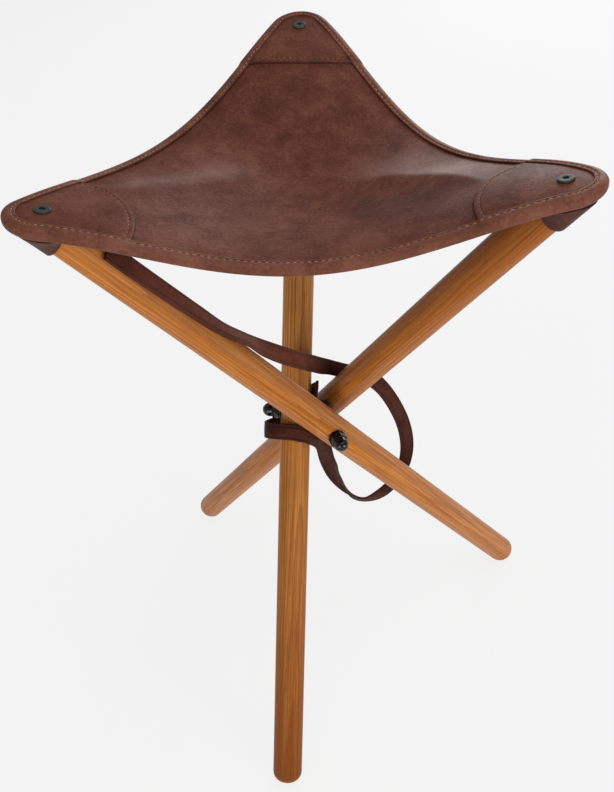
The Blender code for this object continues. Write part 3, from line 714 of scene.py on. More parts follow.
for letter in "abc":
    half = (LEG_BELOW + LEG_ABOVE) / 2
    leg = rod(LEG_RADIUS, 2 * half, 64)
    leg.name = f"oak_leg_{letter}"
    round_rims(leg, END_ROUND, 8, -half, half)
    leg.location.z = LEG_ABOVE - half
    fix_place(leg)
    cut_away(leg, rod(BORE_RADIUS, 0.05, 32, turn=(0, math.pi / 2, 0)))
    spot_middle = SPOT_FACE - ARM_LENGTH + SPOT_CUT / 2
    cut_away(leg, rod(SPOT_RADIUS, SPOT_CUT, 48, at=(spot_middle, 0, 0), turn=(0, math.pi / 2, 0)))
    start, along, _, out = leg_axes(letter)
    axes = Matrix((out, along.cross(out), along))
    leg.data.transform(Matrix.Translation(start) @ axes.transposed().to_4x4())
    only(leg)
    bpy.ops.object.mode_set(mode="EDIT")
    bpy.ops.mesh.select_all(action="SELECT")
    bpy.ops.mesh.bisect(plane_co=(0, 0, FLOOR_CUT), plane_no=(0, 0, 1), clear_inner=True, use_fill=True)
    bpy.ops.object.mode_set(mode="OBJECT")
    bpy.ops.object.shade_smooth_by_angle(angle=math.radians(32))
    own = np.array([v.co - start for v in leg.data.vertices]) @ np.array(axes).T
    layer = leg.data.attributes.new("wood", "FLOAT_VECTOR", "POINT")
    layer.data.foreach_set("vector", (own + np.array(LEG_HEARTS[letter])).astype(np.float32).ravel())
    up = own[:, 2]
    # Painted shade towards the foot and under the seat, and darker wood round the bore
    dark = ease((-up - 0.09) / 0.24) * SHADE_FOOT[letter] + ease((up - 0.03) / 0.06) * SHADE_TOP[letter]
    note(leg, "painted_shade_and_bore", np.maximum(dark, DARK_BORE * bell(np.hypot(own[:, 1], up), BORE_DARK_REACH)))
    # Dry wood with painted sheen towards the foot
    note(leg, "dry_and_sheen", ease((-up - 0.03) / 0.15) * DRY_SHEEN_FOOT[letter] + ease((up - 0.02) / 0.08) * DRY_SHEEN_TOP[letter])
    # Painted light on the top of the leg, where the seat shades it
    note(leg, "pale", ease((up + 0.20) / 0.30) * PAINTED_LIGHT_TOP[letter])
    settle(leg, oak, "oak", f"leg_{letter}")
    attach(leg, f"folding_leg_{letter}")
    print(leg.name, len(leg.data.polygons), "faces, lowest point", round(min(v.co.z for v in leg.data.vertices), 5))

# %% [markdown]
# ## Nuts, washers and spacers
# Each arm of the bolt ends in a black cap nut: a hexagon with a round dome on it. The hexagon is a six-sided
# cylinder with its upper rim bevelled, and the dome is half a sphere on a short neck. Washers and spacers are
# rings: a cylinder, bored, with soft rims. One of each is made standing up and copied to the three arms.

# %% Black hardware materials


def dark_metal(name, colour, worn_and_lit, roughness, scale, **plain):
    """Dark finish with fine scuffs that change its colour and gloss; plain sets the shader's other inputs."""
    material, tree, shader, place = blank_material(name)
    scuff = clouds(tree, place, scale, 5, 0.65, 0.5)
    rub = clouds(tree, place, scale * 0.16, 3, 0.5)
    share = times(tree, ranged(tree, scuff, 0.5, 0.75), ranged(tree, rub, 0.4, 0.65))
    tint = mixed(tree, share, (*colour, 1), (*worn_and_lit, 1))
    polish = ranged(tree, scuff, 0.3, 0.75, roughness, roughness + 0.16)
    feed(tree, shader, tint, polish, bumped(tree, scuff, 0.10, 0.0002))
    for key, value in plain.items():
        shader.inputs[key.replace("_", " ")].default_value = value
    return material


gloss_black = dark_metal(
    "gloss_black", (0.0020, 0.0020, 0.0022), (0.009, 0.0088, 0.0085), 0.07, 900, Specular_IOR_Level=0.42
)
nylon_black = dark_metal("nylon_black", (0.010, 0.010, 0.011), (0.022, 0.022, 0.022), 0.48, 700)
screw_iron = dark_metal("screw_iron", (0.036, 0.039, 0.033), (0.088, 0.092, 0.080), 0.44, 1200, Metallic=0.55)
bolt_steel = dark_metal("bolt_steel", (0.035, 0.035, 0.036), (0.16, 0.16, 0.16), 0.34, 800, Metallic=0.8)
bolt = frame["nodes"]["three_way_bolt"]
bolt.data.materials.clear()
bolt.data.materials.append(bolt_steel)
print("hardware finishes made")

# %% Nut, washer and spacer, made once
NUT_SEAT, NUT_HEX, NUT_HEIGHT = 0.0380, 0.0065, 0.0160
NUT_HALF_FLATS, DOME_RADIUS = 0.0070, 0.0064
NUT_CHAMFER, NUT_CORNER, NECK_SINK = 0.0007, 0.0004, 0.0004
WASHER_RADIUS, WASHER_THICKNESS, WASHER_SOFT, WASHER_GAP = 0.00775, 0.0012, 0.0003, 0.0003
SPACER_RADIUS, SPACER_THICKNESS, SPACER_SOFT, SPACER_STARTS = 0.008, 0.0024, 0.0004, 0.0063


def join(first, *others):
    """Make several meshes one object."""
    only(first)
    for other in others:
        other.select_set(True)
    bpy.ops.object.join()
    return first


def bored_ring(radius, thickness, starts, soft):
    """Ring with soft rims that stands over a level."""
    middle = (0, 0, starts + thickness / 2)
    made = rod(radius, thickness, 48, at=middle)
    fix_place(made)
    round_rims(made, soft, 2, starts, starts + thickness)
    cut_away(made, rod(BORE_RADIUS, 0.02, 40, at=middle))
    return made


hexagon = rod(NUT_HALF_FLATS / math.cos(math.pi / 6), NUT_HEX, 6, at=(0, 0, NUT_HEX / 2))
fix_place(hexagon)
round_rims(hexagon, NUT_CHAMFER, 3, 0.0, NUT_HEX)
modify(hexagon, "BEVEL", width=NUT_CORNER, segments=2, limit_method="ANGLE")
dome_level = NUT_HEIGHT - DOME_RADIUS
bpy.ops.mesh.primitive_uv_sphere_add(segments=48, ring_count=24, radius=DOME_RADIUS, location=(0, 0, dome_level))
dome = bpy.context.object
fix_place(dome)
bpy.ops.object.mode_set(mode="EDIT")
bpy.ops.mesh.select_all(action="SELECT")
bpy.ops.mesh.bisect(plane_co=(0, 0, dome_level), plane_no=(0, 0, 1), clear_inner=True)
bpy.ops.mesh.extrude_region_move(TRANSFORM_OT_translate={"value": (0, 0, NUT_HEX - dome_level - NECK_SINK)})
bpy.ops.object.mode_set(mode="OBJECT")
nut_master = join(hexagon, dome)
nut_master.data.transform(Matrix.Translation((0, 0, NUT_SEAT)))
washer_master = bored_ring(WASHER_RADIUS, WASHER_THICKNESS, SPOT_FACE + WASHER_GAP, WASHER_SOFT)
spacer_master = bored_ring(SPACER_RADIUS, SPACER_THICKNESS, SPACER_STARTS, SPACER_SOFT)
print("nut faces", len(nut_master.data.polygons))

# %% Copies on the three arms
NUT_TURN = math.radians(17)
for name, master, finish, slot, turn in (
    ("cap_nut", nut_master, gloss_black, "black_steel", NUT_TURN),
    ("washer", washer_master, gloss_black, "black_steel", 0),
    ("spacer", spacer_master, nylon_black, "black_nylon", 0),
):
    for letter, arm in ARM_AZIMUTHS.items():
        along_arm = Matrix.Rotation(arm, 4, "Z") @ Matrix.Rotation(math.pi / 2, 4, "Y")
        place = Matrix.Translation(HUB) @ along_arm @ Matrix.Rotation(turn, 4, "Z")
        made = laid_copy(master, f"{name}_{letter}_finished", place, 38)
        settle(made, finish, slot, f"{name}_{letter}")
        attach(made, "hub")
    bpy.data.objects.remove(master, do_unlink=True)
    print(name, "copied to three arms")

# %% [markdown]
# ## Seat
# The sling is one sheet of leather. When the stool folds, each corner goes up with its leg while the middles of
# the edges stay low, so the leather creases along lines from the middle of the seat to the middle of each edge.
# The sheet is therefore made as six triangles that meet on those lines and on the lines to the corners. The
# normals are taken from the whole surface, so no line shows where two triangles meet.

# %% Plan of the seat


def edge_spread(angle):
    """How far the plan reaches from the middle, at angles from a corner (0) to the middle of an edge (60 degrees)."""
    angle = np.asarray(angle, float)
    spare = CORNER_ROUND - EDGE_REACH
    far = (CORNER_REACH**2 - spare**2) / (CORNER_REACH + 2 * spare)
    radius = far - EDGE_REACH
    off = angle - math.pi / 3
    edge = far * np.cos(off) - np.sqrt(np.maximum(0, radius**2 - (far * np.sin(off)) ** 2))
    inside = np.maximum(0, CORNER_ROUND**2 - (CORNER_REACH * np.sin(angle)) ** 2)
    corner = CORNER_REACH * np.cos(angle) + np.sqrt(inside)
    toward = math.atan2(far * math.sin(math.pi / 3), far * 0.5 - CORNER_REACH)
    meet = math.atan2(CORNER_ROUND * math.sin(toward), CORNER_REACH + CORNER_ROUND * math.cos(toward))
    return np.where(angle < meet, corner, edge)


def rim_line(count):
    """Even points of the plan's edge from a corner's tip to the middle of the next edge, with inward directions."""
    angles = np.linspace(0, math.pi / 3, 4000)
    reach = edge_spread(angles)
    x, y = reach * np.cos(angles), reach * np.sin(angles)
    gone = np.concatenate([[0], np.cumsum(np.hypot(np.diff(x), np.diff(y)))])
    even = np.linspace(0, gone[-1], count)
    x, y = np.interp(even, gone, x), np.interp(even, gone, y)
    wide_x, wide_y = np.gradient(x), np.gradient(y)
    size = np.hypot(wide_x, wide_y)
    inward_x, inward_y = -wide_y / size, wide_x / size
    inward_x[0], inward_y[0] = -1, 0
    inward_x[-1], inward_y[-1] = -0.5, -math.sqrt(0.75)
    return even, x, y, inward_x, inward_y


rim_length = rim_line(400)[0][-1]
print("edge from corner to middle", round(rim_length, 4), "m, so the whole edge is", round(6 * rim_length, 3), "m")

# %% Six triangles of the seat
FOLD_REACH = 0.085
HALVES = [(k, letter, side) for k, letter in enumerate("abc") for side in (1, -1)]
SEAM_INSET = 0.0053
HEM_WIDTH = 0.0076
PATCH_RADII = (0.066, 0.066, 0.22)
PATCH_MIDDLES = [CORNER_REACH + out for out in (0.0104, 0.0104, 0.1746)]
PATCH_SHADOW, PATCH_SHADOW_WIDTH = 0.55, 0.0016


def half_name(stem, letter, side):
    """Name of a piece of one half corner."""
    return f"{stem}_{letter}_{'left' if side < 0 else 'right'}"


def in_patch(x, y, k):
    """Distance inside the round edge of a corner's patch, for points in that corner's own axes."""
    return PATCH_RADII[k] - np.hypot(x - PATCH_MIDDLES[k], y)


def placed(x, y, k, side):
    """Point of one half corner, turned into the seat's plan."""
    return turned(x, side * np.asarray(y, float), -CORNER_ANGLES[k])


def surface_normal(x, y):
    """Upward normal of the seat's top in the shared frame."""
    step = 0.0004
    slope_x = (seat_top(x + step, y) - seat_top(x - step, y)) / (2 * step)
    slope_y = (seat_top(x, y + step) - seat_top(x, y - step)) / (2 * step)
    flat = to_world(-slope_x, -slope_y, 1.0) - to_world(0.0, 0.0, 0.0)
    return flat / np.linalg.norm(flat, axis=-1, keepdims=True)


def fold_with_leg(obj, k, side):
    """Put a half corner's place into its mesh; the line it would fold about is worked out but not used."""
    angle = CORNER_ANGLES[k] + side * math.pi / 3
    away = (math.sin(angle) * side, -math.cos(angle) * side)
    level = float(seat_top(0.0, 0.0))
    ends = [tuple(to_world(away[0] * far, away[1] * far, level)) for far in (0.0, FOLD_REACH)]
    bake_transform(obj)


COLUMNS, RINGS = 26, 45
angles = np.linspace(0, math.pi / 3, COLUMNS)
shares = np.linspace(0, 1, RINGS + 1)[1:]
outer = RINGS - 1
border = [0] + [ring_point(COLUMNS, i, 0) for i in range(outer)]
border += [ring_point(COLUMNS, outer, j) for j in range(COLUMNS)]
border += [ring_point(COLUMNS, i, COLUMNS - 1) for i in range(outer - 1, -1, -1)]
seat_faces = thick_sheet(RINGS, COLUMNS, COLUMNS - 1, border)
seat_parts = {}
for k, letter, side in HALVES:
    reach = shares[:, None] * edge_spread(angles)[None]
    x, y = placed(reach * np.cos(angles), reach * np.sin(angles), k, side)
    flat_x, flat_y = np.concatenate([[0], x.ravel()]), np.concatenate([[0], y.ravel()])
    level = seat_top(flat_x, flat_y)
    top, bottom = to_world(flat_x, flat_y, level), to_world(flat_x, flat_y, level - SEAT_THICKNESS)
    made = piece(half_name("seat_panel", letter, side), np.vstack([top, bottom]), seat_faces)
    count = len(flat_x)
    up = surface_normal(flat_x, flat_y)
    normals = np.zeros((len(made.data.loops), 3))
    for face in made.data.polygons:
        above, below = max(face.vertices) < count, min(face.vertices) >= count
        for corner in face.loop_indices:
            v = made.data.loops[corner].vertex_index
            normals[corner] = up[v] if above else -up[v - count] if below else face.normal
    made.data.normals_split_custom_set([tuple(n) for n in normals])
    crest, dark = np.clip(pull_ridge(flat_x, flat_y)[1:], 0, 1)
    off_patch = np.abs(in_patch(*turned(flat_x, flat_y, CORNER_ANGLES[k]), k))
    shadow = PATCH_SHADOW * np.exp(-off_patch / PATCH_SHADOW_WIDTH)
    # Pale band of wax pull-up and painted sheen behind the crests
    note(made, "pull_up_and_painted_light", np.tile(crest, 2))
    # Painted shadow along the patch edges and painted shade in front of the right crest
    note(made, "painted_shade", np.tile(np.maximum(shadow, dark), 2))
    settle(made, seat_leather, "brown_leather", "seat_panel")
    fold_with_leg(made, k, side)
    seat_parts[letter, side] = made
    print(made.name, len(made.data.polygons), "faces")

# %% [markdown]
# ## Hem
# A strip of the same leather is folded over the edge and sewn through, about 8 mm wide. Its section is a long U:
# a soft roll outside, a dip along the row of stitches, and a cut edge on the inside. Near a corner it climbs over
# the patch, which shows as a small step in the outline. The section is carried along the plan's edge.

# %% Hem
HEM_GAP = 0.0003
HEM_THICKNESS = 0.0018
OVER = HEM_GAP + HEM_THICKNESS
HEM_CLIMB, CLIMB_LENGTH = 0.0011, 0.0032
ROLL_OUT, ROLL_MIDDLE, ROLL_TURN = 0.0029, 0.0008, 1.45
PUCKER_HEIGHT, PUCKER_PITCH, PUCKER_WIDTH = 0.00014, 0.0052, 0.0016
ROWS = 118


def hem_section():
    """Inset from the edge and height over the seat's top for the hem's closed section, and its painted shade along the
    stitch row and the cut inner edge.
    """
    upper_side = [
        (HEM_WIDTH, HEM_GAP), (HEM_WIDTH, OVER - 0.0006),
        (HEM_WIDTH - 0.0003, OVER - 0.0002), (HEM_WIDTH - 0.0009, OVER),
        (SEAM_INSET + 0.0009, OVER), (SEAM_INSET + 0.0005, OVER - 0.0003),
        (SEAM_INSET, OVER - 0.0005), (SEAM_INSET - 0.0005, OVER - 0.0003),
        (SEAM_INSET - 0.0011, OVER + 0.0001), (SEAM_INSET - 0.0019, OVER + 0.0004),
        (0.0025, OVER + 0.0004), (0.0015, OVER + 0.0002),
    ]
    lower_side = [(inset, -SEAT_THICKNESS - height) for inset, height in upper_side[::-1]]
    middle = -SEAT_THICKNESS / 2
    roll = [
        (ROLL_MIDDLE - ROLL_OUT * math.cos(turn), middle + (OVER - middle) * math.sin(turn))
        for turn in np.linspace(ROLL_TURN, -ROLL_TURN, 11)
    ]
    under = -SEAT_THICKNESS - HEM_GAP
    inner = [(0.0010, under), (-HEM_GAP, under), (-HEM_GAP, HEM_GAP), (0.0010, HEM_GAP)]
    section = np.array(upper_side + roll + lower_side + inner)
    # Painted shade in the stitch row's dip and painted shadow of the cut inner edge
    painted_shade = 0.42 * bell(section[:, 0] - SEAM_INSET, 0.0007)
    return section, np.maximum(painted_shade, 0.55 * (section[:, 0] > HEM_WIDTH - 0.0002))


def over_patch(x, y, k):
    """1 where the hem lies over a corner patch, 0 elsewhere."""
    return ease(in_patch(*turned(x, y, CORNER_ANGLES[k]), k) / CLIMB_LENGTH + 0.5)


section, painted_shade = hem_section()
inset, height = section.T
near_seam = (height > 0.001) * np.exp(-np.abs(inset - SEAM_INSET) / PUCKER_WIDTH)
gone, x, y, in_x, in_y = rim_line(ROWS)
pucker = PUCKER_HEIGHT * np.cos(gone[:, None] * math.tau / PUCKER_PITCH) * near_seam
hems = {}
for k, letter, side in HALVES:
    px, py = placed(x[:, None] + in_x[:, None] * inset, y[:, None] + in_y[:, None] * inset, k, side)
    climb = HEM_CLIMB * over_patch(px, py, k) * (height > -SEAT_THICKNESS / 2)
    points = to_world(px, py, seat_top(px, py) + height + climb + pucker)
    made = piece(half_name("hem", letter, side), points, swept_faces(ROWS, len(section)), 48)
    note(made, "painted_shade", np.tile(painted_shade, ROWS))
    settle(made, hem_leather, "brown_leather", "edge_binding")
    fold_with_leg(made, k, side)
    hems[letter, side] = made
print("hem pieces", len(hems), "with", len(section), "points in the section")

# %% [markdown]
# ## Corner patches
# Each corner is doubled by a round patch whose outer rim goes under the hem and whose inner edge is a free arc
# with a row of stitches just inside it. It is a disc of rings around the leg's top, cut to the smaller of the arc
# and the hem, with a softened edge and a dip along the stitches.

# %% Patches
PATCH_THICKNESS, PATCH_GAP = 0.0015, 0.0004
PATCH_UNDERSIDE = 0.0002
PATCH_SEAM, SEAM_DIP = 0.0040, 0.0004
PATCH_EDGE_ROUND = 0.0011
UNDER_HEM = 0.0040


def patch_reach(angles, k):
    """Distance from the corner's middle to the patch's edge."""
    _, x, y, in_x, in_y = rim_line(1500)
    x, y = x + in_x * UNDER_HEM - CORNER_REACH, y + in_y * UNDER_HEM
    turn, far = np.arctan2(y, x), np.hypot(x, y)
    order = np.argsort(turn)
    hem = np.interp(np.abs(angles), turn[order], far[order], right=1.0)
    off = PATCH_MIDDLES[k] - CORNER_REACH
    along = off * np.cos(angles)
    disc = along + np.sqrt(along**2 + PATCH_RADII[k] ** 2 - off**2)
    return np.minimum(hem, disc)


PATCH_ANGLES = np.linspace(-math.pi, math.pi, 145)[:-1]
PATCH_SHARES = np.concatenate([np.linspace(0, 0.88, 14)[1:], np.linspace(0.895, 1, 16)])
around, patch_rings = len(PATCH_ANGLES), len(PATCH_SHARES)
border = [ring_point(around, patch_rings - 1, j) for j in range(around)]
patch_faces = thick_sheet(patch_rings, around, around, border)
patches = {}
for k, letter in enumerate("abc"):
    reach = PATCH_SHARES[:, None] * patch_reach(PATCH_ANGLES, k)[None]
    local_x = np.concatenate([[CORNER_REACH], (CORNER_REACH + reach * np.cos(PATCH_ANGLES)).ravel()])
    local_y = np.concatenate([[0.0], (reach * np.sin(PATCH_ANGLES)).ravel()])
    inside = in_patch(local_x, local_y, k)
    rounding = np.sqrt(np.clip(1 - np.clip(1 - inside / PATCH_EDGE_ROUND, 0, 1) ** 2, 0, 1))
    row = bell(inside - PATCH_SEAM, 0.0007)
    px, py = placed(local_x, local_y, k, 1)
    base = seat_top(px, py)
    top = to_world(px, py, base + PATCH_GAP + PATCH_THICKNESS * rounding - SEAM_DIP * row)
    bottom = to_world(px, py, base + PATCH_UNDERSIDE)
    made = piece(f"patch_{letter}", np.vstack([top, bottom]), patch_faces, 60)
    # Painted shade in the stitch row's dip and at the patch's free edge
    note(made, "painted_shade", np.tile(np.maximum(0.42 * row, 0.35 * (inside < 0.0004)), 2))
    note(made, "pull_up_and_painted_light", np.zeros(2 * len(px)))
    settle(made, seat_leather, "brown_leather", f"corner_patch_{letter}")
    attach(made, f"folding_leg_{letter}")
    patches[letter] = made
print("patches", len(patches), "faces each", len(made.data.polygons))

# %% [markdown]
# ## Stitches
# The seams are sewn with tan thread, a stitch about every 4.6 mm. One stitch is a small sphere drawn out into a grain,
# flattened a little and bent at its ends into the leather. It is modelled once, and each row is that mesh repeated
# along the seam, above and below the hem. The thread on the patches is older and darker than on the hem.

# %% Thread material and one stitch
STITCH_PITCH, STITCH_LENGTH, STITCH_WIDE = 0.0046, 0.0029, 0.00070
STITCH_BEND = 0.00035
thread, tree, shader, place = blank_material("tan_thread")
twist = {"Vector": place, "Scale": 620.0, "Distortion": 2.0, "Detail": 1.0}
strand = grow(tree, "ShaderNodeTexWave", twist, bands_direction="DIAGONAL").outputs["Fac"]
worn_and_lit = clouds(tree, place, 60, 3, 0.6)
colour = mixed(tree, strand, (0.430, 0.180, 0.082, 1), (0.660, 0.335, 0.172, 1))
colour = mixed(tree, ranged(tree, worn_and_lit, 0.44, 0.60, 0, 0.75), colour, (0.200, 0.075, 0.036, 1))
colour = mixed(tree, read(tree, "aged"), colour, (0.170, 0.060, 0.030, 1))
feed(tree, shader, colour, ranged(tree, worn_and_lit, 0.3, 0.7, 0.62, 0.75), bumped(tree, strand, 0.4, 0.0003))

bpy.ops.object.select_all(action="DESELECT")
bpy.ops.mesh.primitive_uv_sphere_add(segments=8, ring_count=6, radius=0.5, rotation=(0, math.pi / 2, 0))
stitch = bpy.context.object
stitch.scale = (STITCH_WIDE * 0.75, STITCH_WIDE, STITCH_LENGTH)
fix_place(stitch)
stitch_points = np.array([v.co for v in stitch.data.vertices])
stitch_faces = [tuple(f.vertices) for f in stitch.data.polygons]
stitch_points[:, 2] -= STITCH_BEND * (2 * stitch_points[:, 0] / STITCH_LENGTH) ** 2
bpy.data.objects.remove(stitch, do_unlink=True)
print("one stitch:", len(stitch_faces), "faces, size", np.round(np.ptp(stitch_points, axis=0) * 1000, 2), "mm")

# %% Rows of stitches
STITCH_SINK, STITCH_RISE = 0.00022, 0.0003
HEM_AGED, PATCH_AGED = 0.10, 0.62
PATCH_ROW_HALF, PATCH_ROW_CLEAR = 0.060, 0.0118


def sewn_row(name, places, ahead, up, aged):
    """The stitch repeated along a row."""
    across = np.cross(up, ahead)
    across /= np.linalg.norm(across, axis=1, keepdims=True)
    axes = np.stack([ahead, across, np.cross(ahead, across)], 1)
    points = places[:, None] + np.einsum("vk,nkc->nvc", stitch_points, axes)
    faces = [tuple(v + n * len(stitch_points) for v in f) for n in range(len(places)) for f in stitch_faces]
    made = piece(name, points, faces)
    note(made, "aged", np.full(points.shape[:2], aged))
    return settle(made, thread, "brown_leather")


threads = {}
_, x, y, in_x, in_y = rim_line(2 * int(rim_length / STITCH_PITCH) + 1)
for k, letter, side in HALVES:
    px, py = placed(x + in_x * SEAM_INSET, y + in_y * SEAM_INSET, k, side)
    level, up = seat_top(px, py), surface_normal(px, py)
    above = to_world(px, py, level + OVER - STITCH_SINK + HEM_CLIMB * over_patch(px, py, k))
    below = to_world(px, py, level - SEAT_THICKNESS - OVER + STITCH_SINK)
    rows = [(points[1::2], along_row(points)[1::2], way * up[1::2]) for points, way in ((above, 1), (below, -1))]
    made = sewn_row(half_name("hem_stitches", letter, side), *map(np.vstack, zip(*rows)), HEM_AGED)
    fold_with_leg(made, k, side)
    threads[letter, side] = made
patch_threads = {}
for k, letter in enumerate("abc"):
    ring = PATCH_RADII[k] - PATCH_SEAM
    angles = np.arange(-PATCH_ROW_HALF, PATCH_ROW_HALF, STITCH_PITCH) / ring
    row_x, row_y = PATCH_MIDDLES[k] - ring * np.cos(angles), ring * np.sin(angles)
    clear = np.hypot(row_x, row_y) < edge_spread(np.abs(np.arctan2(row_y, row_x))) - PATCH_ROW_CLEAR
    px, py = placed(row_x[clear], row_y[clear], k, 1)
    points = to_world(px, py, seat_top(px, py) + PATCH_GAP + PATCH_THICKNESS - SEAM_DIP + STITCH_RISE)
    made = sewn_row(f"patch_stitches_{letter}", points, along_row(points), surface_normal(px, py), PATCH_AGED)
    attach(made, f"folding_leg_{letter}")
    patch_threads[letter] = made
print("stitch rows:", len(threads) + len(patch_threads))

# %% [markdown]
# ## Pockets
# Under each corner a gusset of leather is sewn to the hem and closes round the outer side of the leg's top, so
# the leg can't slip out. It is a sheet between two curves: the corner's rim under the hem, and an open ring on
# the leg. The sheet gets its thickness from a Solidify modifier.

# %% Pockets
POCKET_WALL, POCKET_GAP, POCKET_SOFT = 0.0019, 0.0008, 0.0004
POCKET_LIE = LEG_RADIUS + POCKET_GAP + POCKET_WALL / 2
POCKET_RIM_IN, POCKET_CLEAR = 0.0030, 0.0026
POCKET_RIM = CORNER_ROUND - POCKET_RIM_IN
POCKET_DROP = SEAT_THICKNESS + OVER + POCKET_CLEAR
POCKET_END, POCKET_END_RISE = 0.3190, 0.006
RIM_TURN, RING_TURN = math.radians(112), math.radians(100)
POCKET_PULL = 0.9
POCKET_COLUMNS, POCKET_ROWS = 41, 15
spread = np.linspace(-1, 1, POCKET_COLUMNS)
steps = np.linspace(0, 1, POCKET_ROWS)[:, None, None]
pocket_faces = []
for i in range(POCKET_ROWS - 1):
    for j in range(POCKET_COLUMNS - 1):
        near, far = i * POCKET_COLUMNS + j, (i + 1) * POCKET_COLUMNS + j
        pocket_faces.append((near, near + 1, far + 1, far))
pockets = {}
for k, letter in enumerate("abc"):
    start, along, upper, _ = (np.array(v) for v in leg_axes(letter))
    rim_turn, ring_turn = RIM_TURN * spread, RING_TURN * spread[:, None]
    px, py = placed(CORNER_REACH + POCKET_RIM * np.cos(rim_turn), POCKET_RIM * np.sin(rim_turn), k, 1)
    rim = to_world(px, py, seat_top(px, py) - POCKET_DROP)
    level = POCKET_END + POCKET_END_RISE * np.abs(spread[:, None]) ** 3
    aside = np.cross(along, -upper)
    ring = start + along * level + POCKET_LIE * (aside * np.sin(ring_turn) - upper * np.cos(ring_turn))
    grid = ring + (rim - ring) * steps
    axis = start + along * np.sum((grid - start) * along, -1, keepdims=True)
    away = grid - axis
    tuck = POCKET_LIE / np.linalg.norm(away, axis=-1, keepdims=True)
    pull = POCKET_PULL * (1 - steps) ** 2
    grid = axis + away * np.maximum(tuck, 1 - pull * np.clip(1 - tuck, 0, 1))
    made = piece(f"pocket_{letter}", grid, pocket_faces)
    modify(made, "SOLIDIFY", thickness=POCKET_WALL, offset=0)
    modify(made, "BEVEL", width=POCKET_SOFT, segments=2, limit_method="ANGLE", angle_limit=math.radians(50))
    bpy.ops.object.shade_smooth_by_angle(angle=math.radians(40))
    settle(made, pocket_leather, "brown_leather", f"corner_pocket_{letter}")
    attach(made, f"folding_leg_{letter}")
    pockets[letter] = made
print("pockets", len(pockets), "faces each", len(made.data.polygons))

# %% [markdown]
# ## Corner screws
# A dark round-headed screw holds each corner to its leg. The head is a short cylinder with a bevelled rim and a
# socket: the top face is inset and pushed down. It is made once, then laid on each corner, square to the leather.

# %% Screws
HEAD_RADIUS, HEAD_HEIGHT, HEAD_ROUND, HEAD_GAP = 0.00575, 0.0014, 0.0009, 0.00005
SOCKET_RIM, SOCKET_SLOPE, SOCKET_DIP, SOCKET_DEPTH = 0.0022, 0.0006, 0.0002, 0.0009
SHANK_RADIUS, SHANK_LENGTH, SHANK_ROUND = 0.0020, 0.0180, 0.0012
SHANK_IN_HEAD = 0.0001
head = rod(HEAD_RADIUS, HEAD_HEIGHT, 48, at=(0, 0, HEAD_HEIGHT / 2))
fix_place(head)
round_rims(head, HEAD_ROUND, 4, None, HEAD_HEIGHT)
bpy.ops.object.mode_set(mode="EDIT")
bpy.ops.mesh.select_mode(type="FACE")
mesh = bmesh.from_edit_mesh(head.data)
for face in mesh.faces:
    face.select_set(face.normal.z > 0.99 and abs(face.calc_center_median().z - HEAD_HEIGHT) < 1e-5)
bmesh.update_edit_mesh(head.data)
bpy.ops.mesh.inset(thickness=SOCKET_RIM)
bpy.ops.mesh.inset(thickness=SOCKET_SLOPE)
bpy.ops.transform.translate(value=(0, 0, -SOCKET_DIP))
bpy.ops.mesh.extrude_region_move(TRANSFORM_OT_translate={"value": (0, 0, -SOCKET_DEPTH)})
bpy.ops.object.mode_set(mode="OBJECT")
shank = rod(SHANK_RADIUS, SHANK_LENGTH, 24, at=(0, 0, SHANK_IN_HEAD - SHANK_LENGTH / 2))
fix_place(shank)
round_rims(shank, SHANK_ROUND, 3, SHANK_IN_HEAD - SHANK_LENGTH, None)
screw_master = join(head, shank)
for k, letter in enumerate("abc"):
    px, py = placed(np.array(SCREW_REACH), np.array(0.0), k, 1)
    point = to_world(px, py, seat_top(px, py) + PATCH_GAP + PATCH_THICKNESS + HEAD_GAP)
    turn = Vector((0, 0, 1)).rotation_difference(Vector(surface_normal(px, py))).to_matrix().to_4x4()
    made = laid_copy(screw_master, f"screw_{letter}_finished", Matrix.Translation(Vector(point)) @ turn, 35)
    settle(made, screw_iron, "dark_iron", f"corner_screw_{letter}")
    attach(made, f"folding_leg_{letter}")
bpy.data.objects.remove(screw_master, do_unlink=True)
print("screws laid on three corners")

# %% [markdown]
# ## The leather as sheets
# Each triangle of the seat is gathered with the hem, patch, pocket and stitches that are on it, and nothing
# more is done with them.

for k, letter, side in HALVES:
    made = seat_parts[letter, side]
    on_it = [hems[letter, side], threads[letter, side]]
    if side > 0:
        on_it += [patches[letter], patch_threads[letter], pockets[letter]]

# %% [markdown]
# ## Floor and light
# The photograph is a cut-out on a pale grey-white ground, lit from all sides by soft boxes. The floor is one
# large plane. The world gives the even light, a wide lamp hangs overhead, two low lamps in front bring up the
# legs and the hem, and one lamp behind lights the far side.

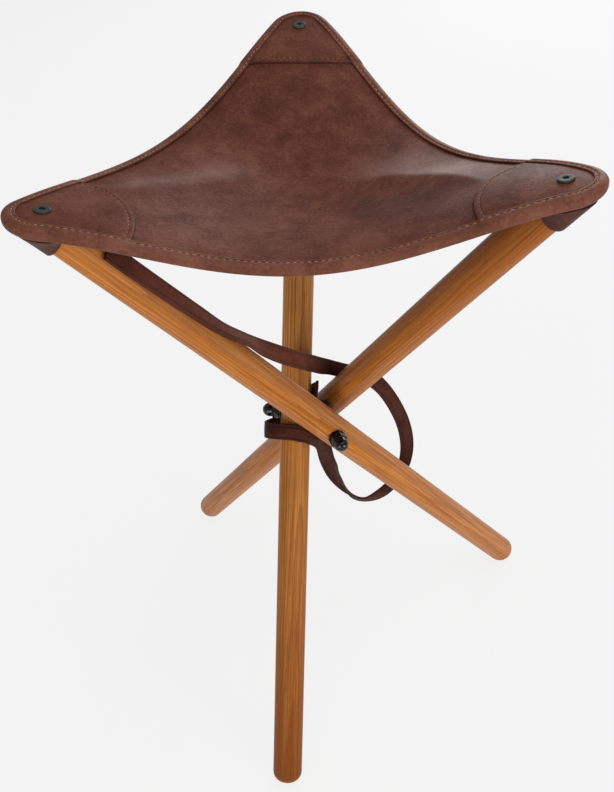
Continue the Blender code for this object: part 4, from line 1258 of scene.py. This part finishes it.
# %% Floor
FLOOR_SIZE = 80
FLOOR_GLOW, GLOW_SHARE = 0.912, 0.90
bpy.ops.object.select_all(action="DESELECT")
bpy.ops.mesh.primitive_plane_add(size=FLOOR_SIZE, location=(0, 0, 0))
floor = bpy.context.object
floor.name = "studio_floor"
floor_paint, tree, shader, place = blank_material("studio_floor")
dust = ranged(tree, clouds(tree, place, 3, 2), 0.3, 0.7)
paint = mixed(tree, dust, (0.890, 0.890, 0.888, 1), (0.905, 0.905, 0.904, 1))
tree.links.new(paint, shader.inputs["Base Color"])
shader.inputs["Roughness"].default_value = 0.9
shader.inputs["Specular IOR Level"].default_value = 0.1
way = grow(tree, "ShaderNodeLightPath").outputs
seen = sums(tree, "MAXIMUM", way["Is Camera Ray"], way["Is Glossy Ray"])
seen = sums(tree, "MAXIMUM", seen, way["Is Transmission Ray"])
glow = grow(tree, "ShaderNodeEmission", {"Color": (FLOOR_GLOW, FLOOR_GLOW, FLOOR_GLOW, 1), "Strength": 1.0})
layers = {0: times(tree, seen, GLOW_SHARE), 1: shader.outputs[0], 2: glow.outputs[0]}
pale = grow(tree, "ShaderNodeMixShader", layers)
tree.links.new(pale.outputs[0], tree.nodes["Material Output"].inputs["Surface"])
floor.data.materials.append(floor_paint)
print("floor", FLOOR_SIZE, "m across")

# %% Light
scene = bpy.context.scene
scene.view_settings.view_transform = "Standard"
world = bpy.data.worlds.new("soft_room")
scene.world = world
world.use_nodes = True
backdrop = world.node_tree.nodes["Background"]
backdrop.inputs["Color"].default_value = (1.0, 0.995, 0.985, 1)
backdrop.inputs["Strength"].default_value = 0.40


def soft_box(name, at, towards, size, power):
    """Square area lamp that looks at a point."""
    bpy.ops.object.light_add(type="AREA", location=at)
    lamp = bpy.context.object
    lamp.name = name
    lamp.data.size = size
    lamp.data.energy = power
    lamp.rotation_euler = (Vector(towards) - Vector(at)).to_track_quat("-Z", "Y").to_euler()


soft_box("key_overhead", (0.5, -0.1, 2.4), (0, 0, 0.45), 1.8, 23)
soft_box("fill_low_front", (-0.7, -2.0, 0.46), (0, 0, 0.25), 1.0, 12)
soft_box("fill_low_right", (1.7, -1.3, 0.42), (0, 0, 0.25), 1.0, 18)
soft_box("low_behind", (0.5, 2.2, 1.0), (0, 0, 0.5), 1.2, 20)
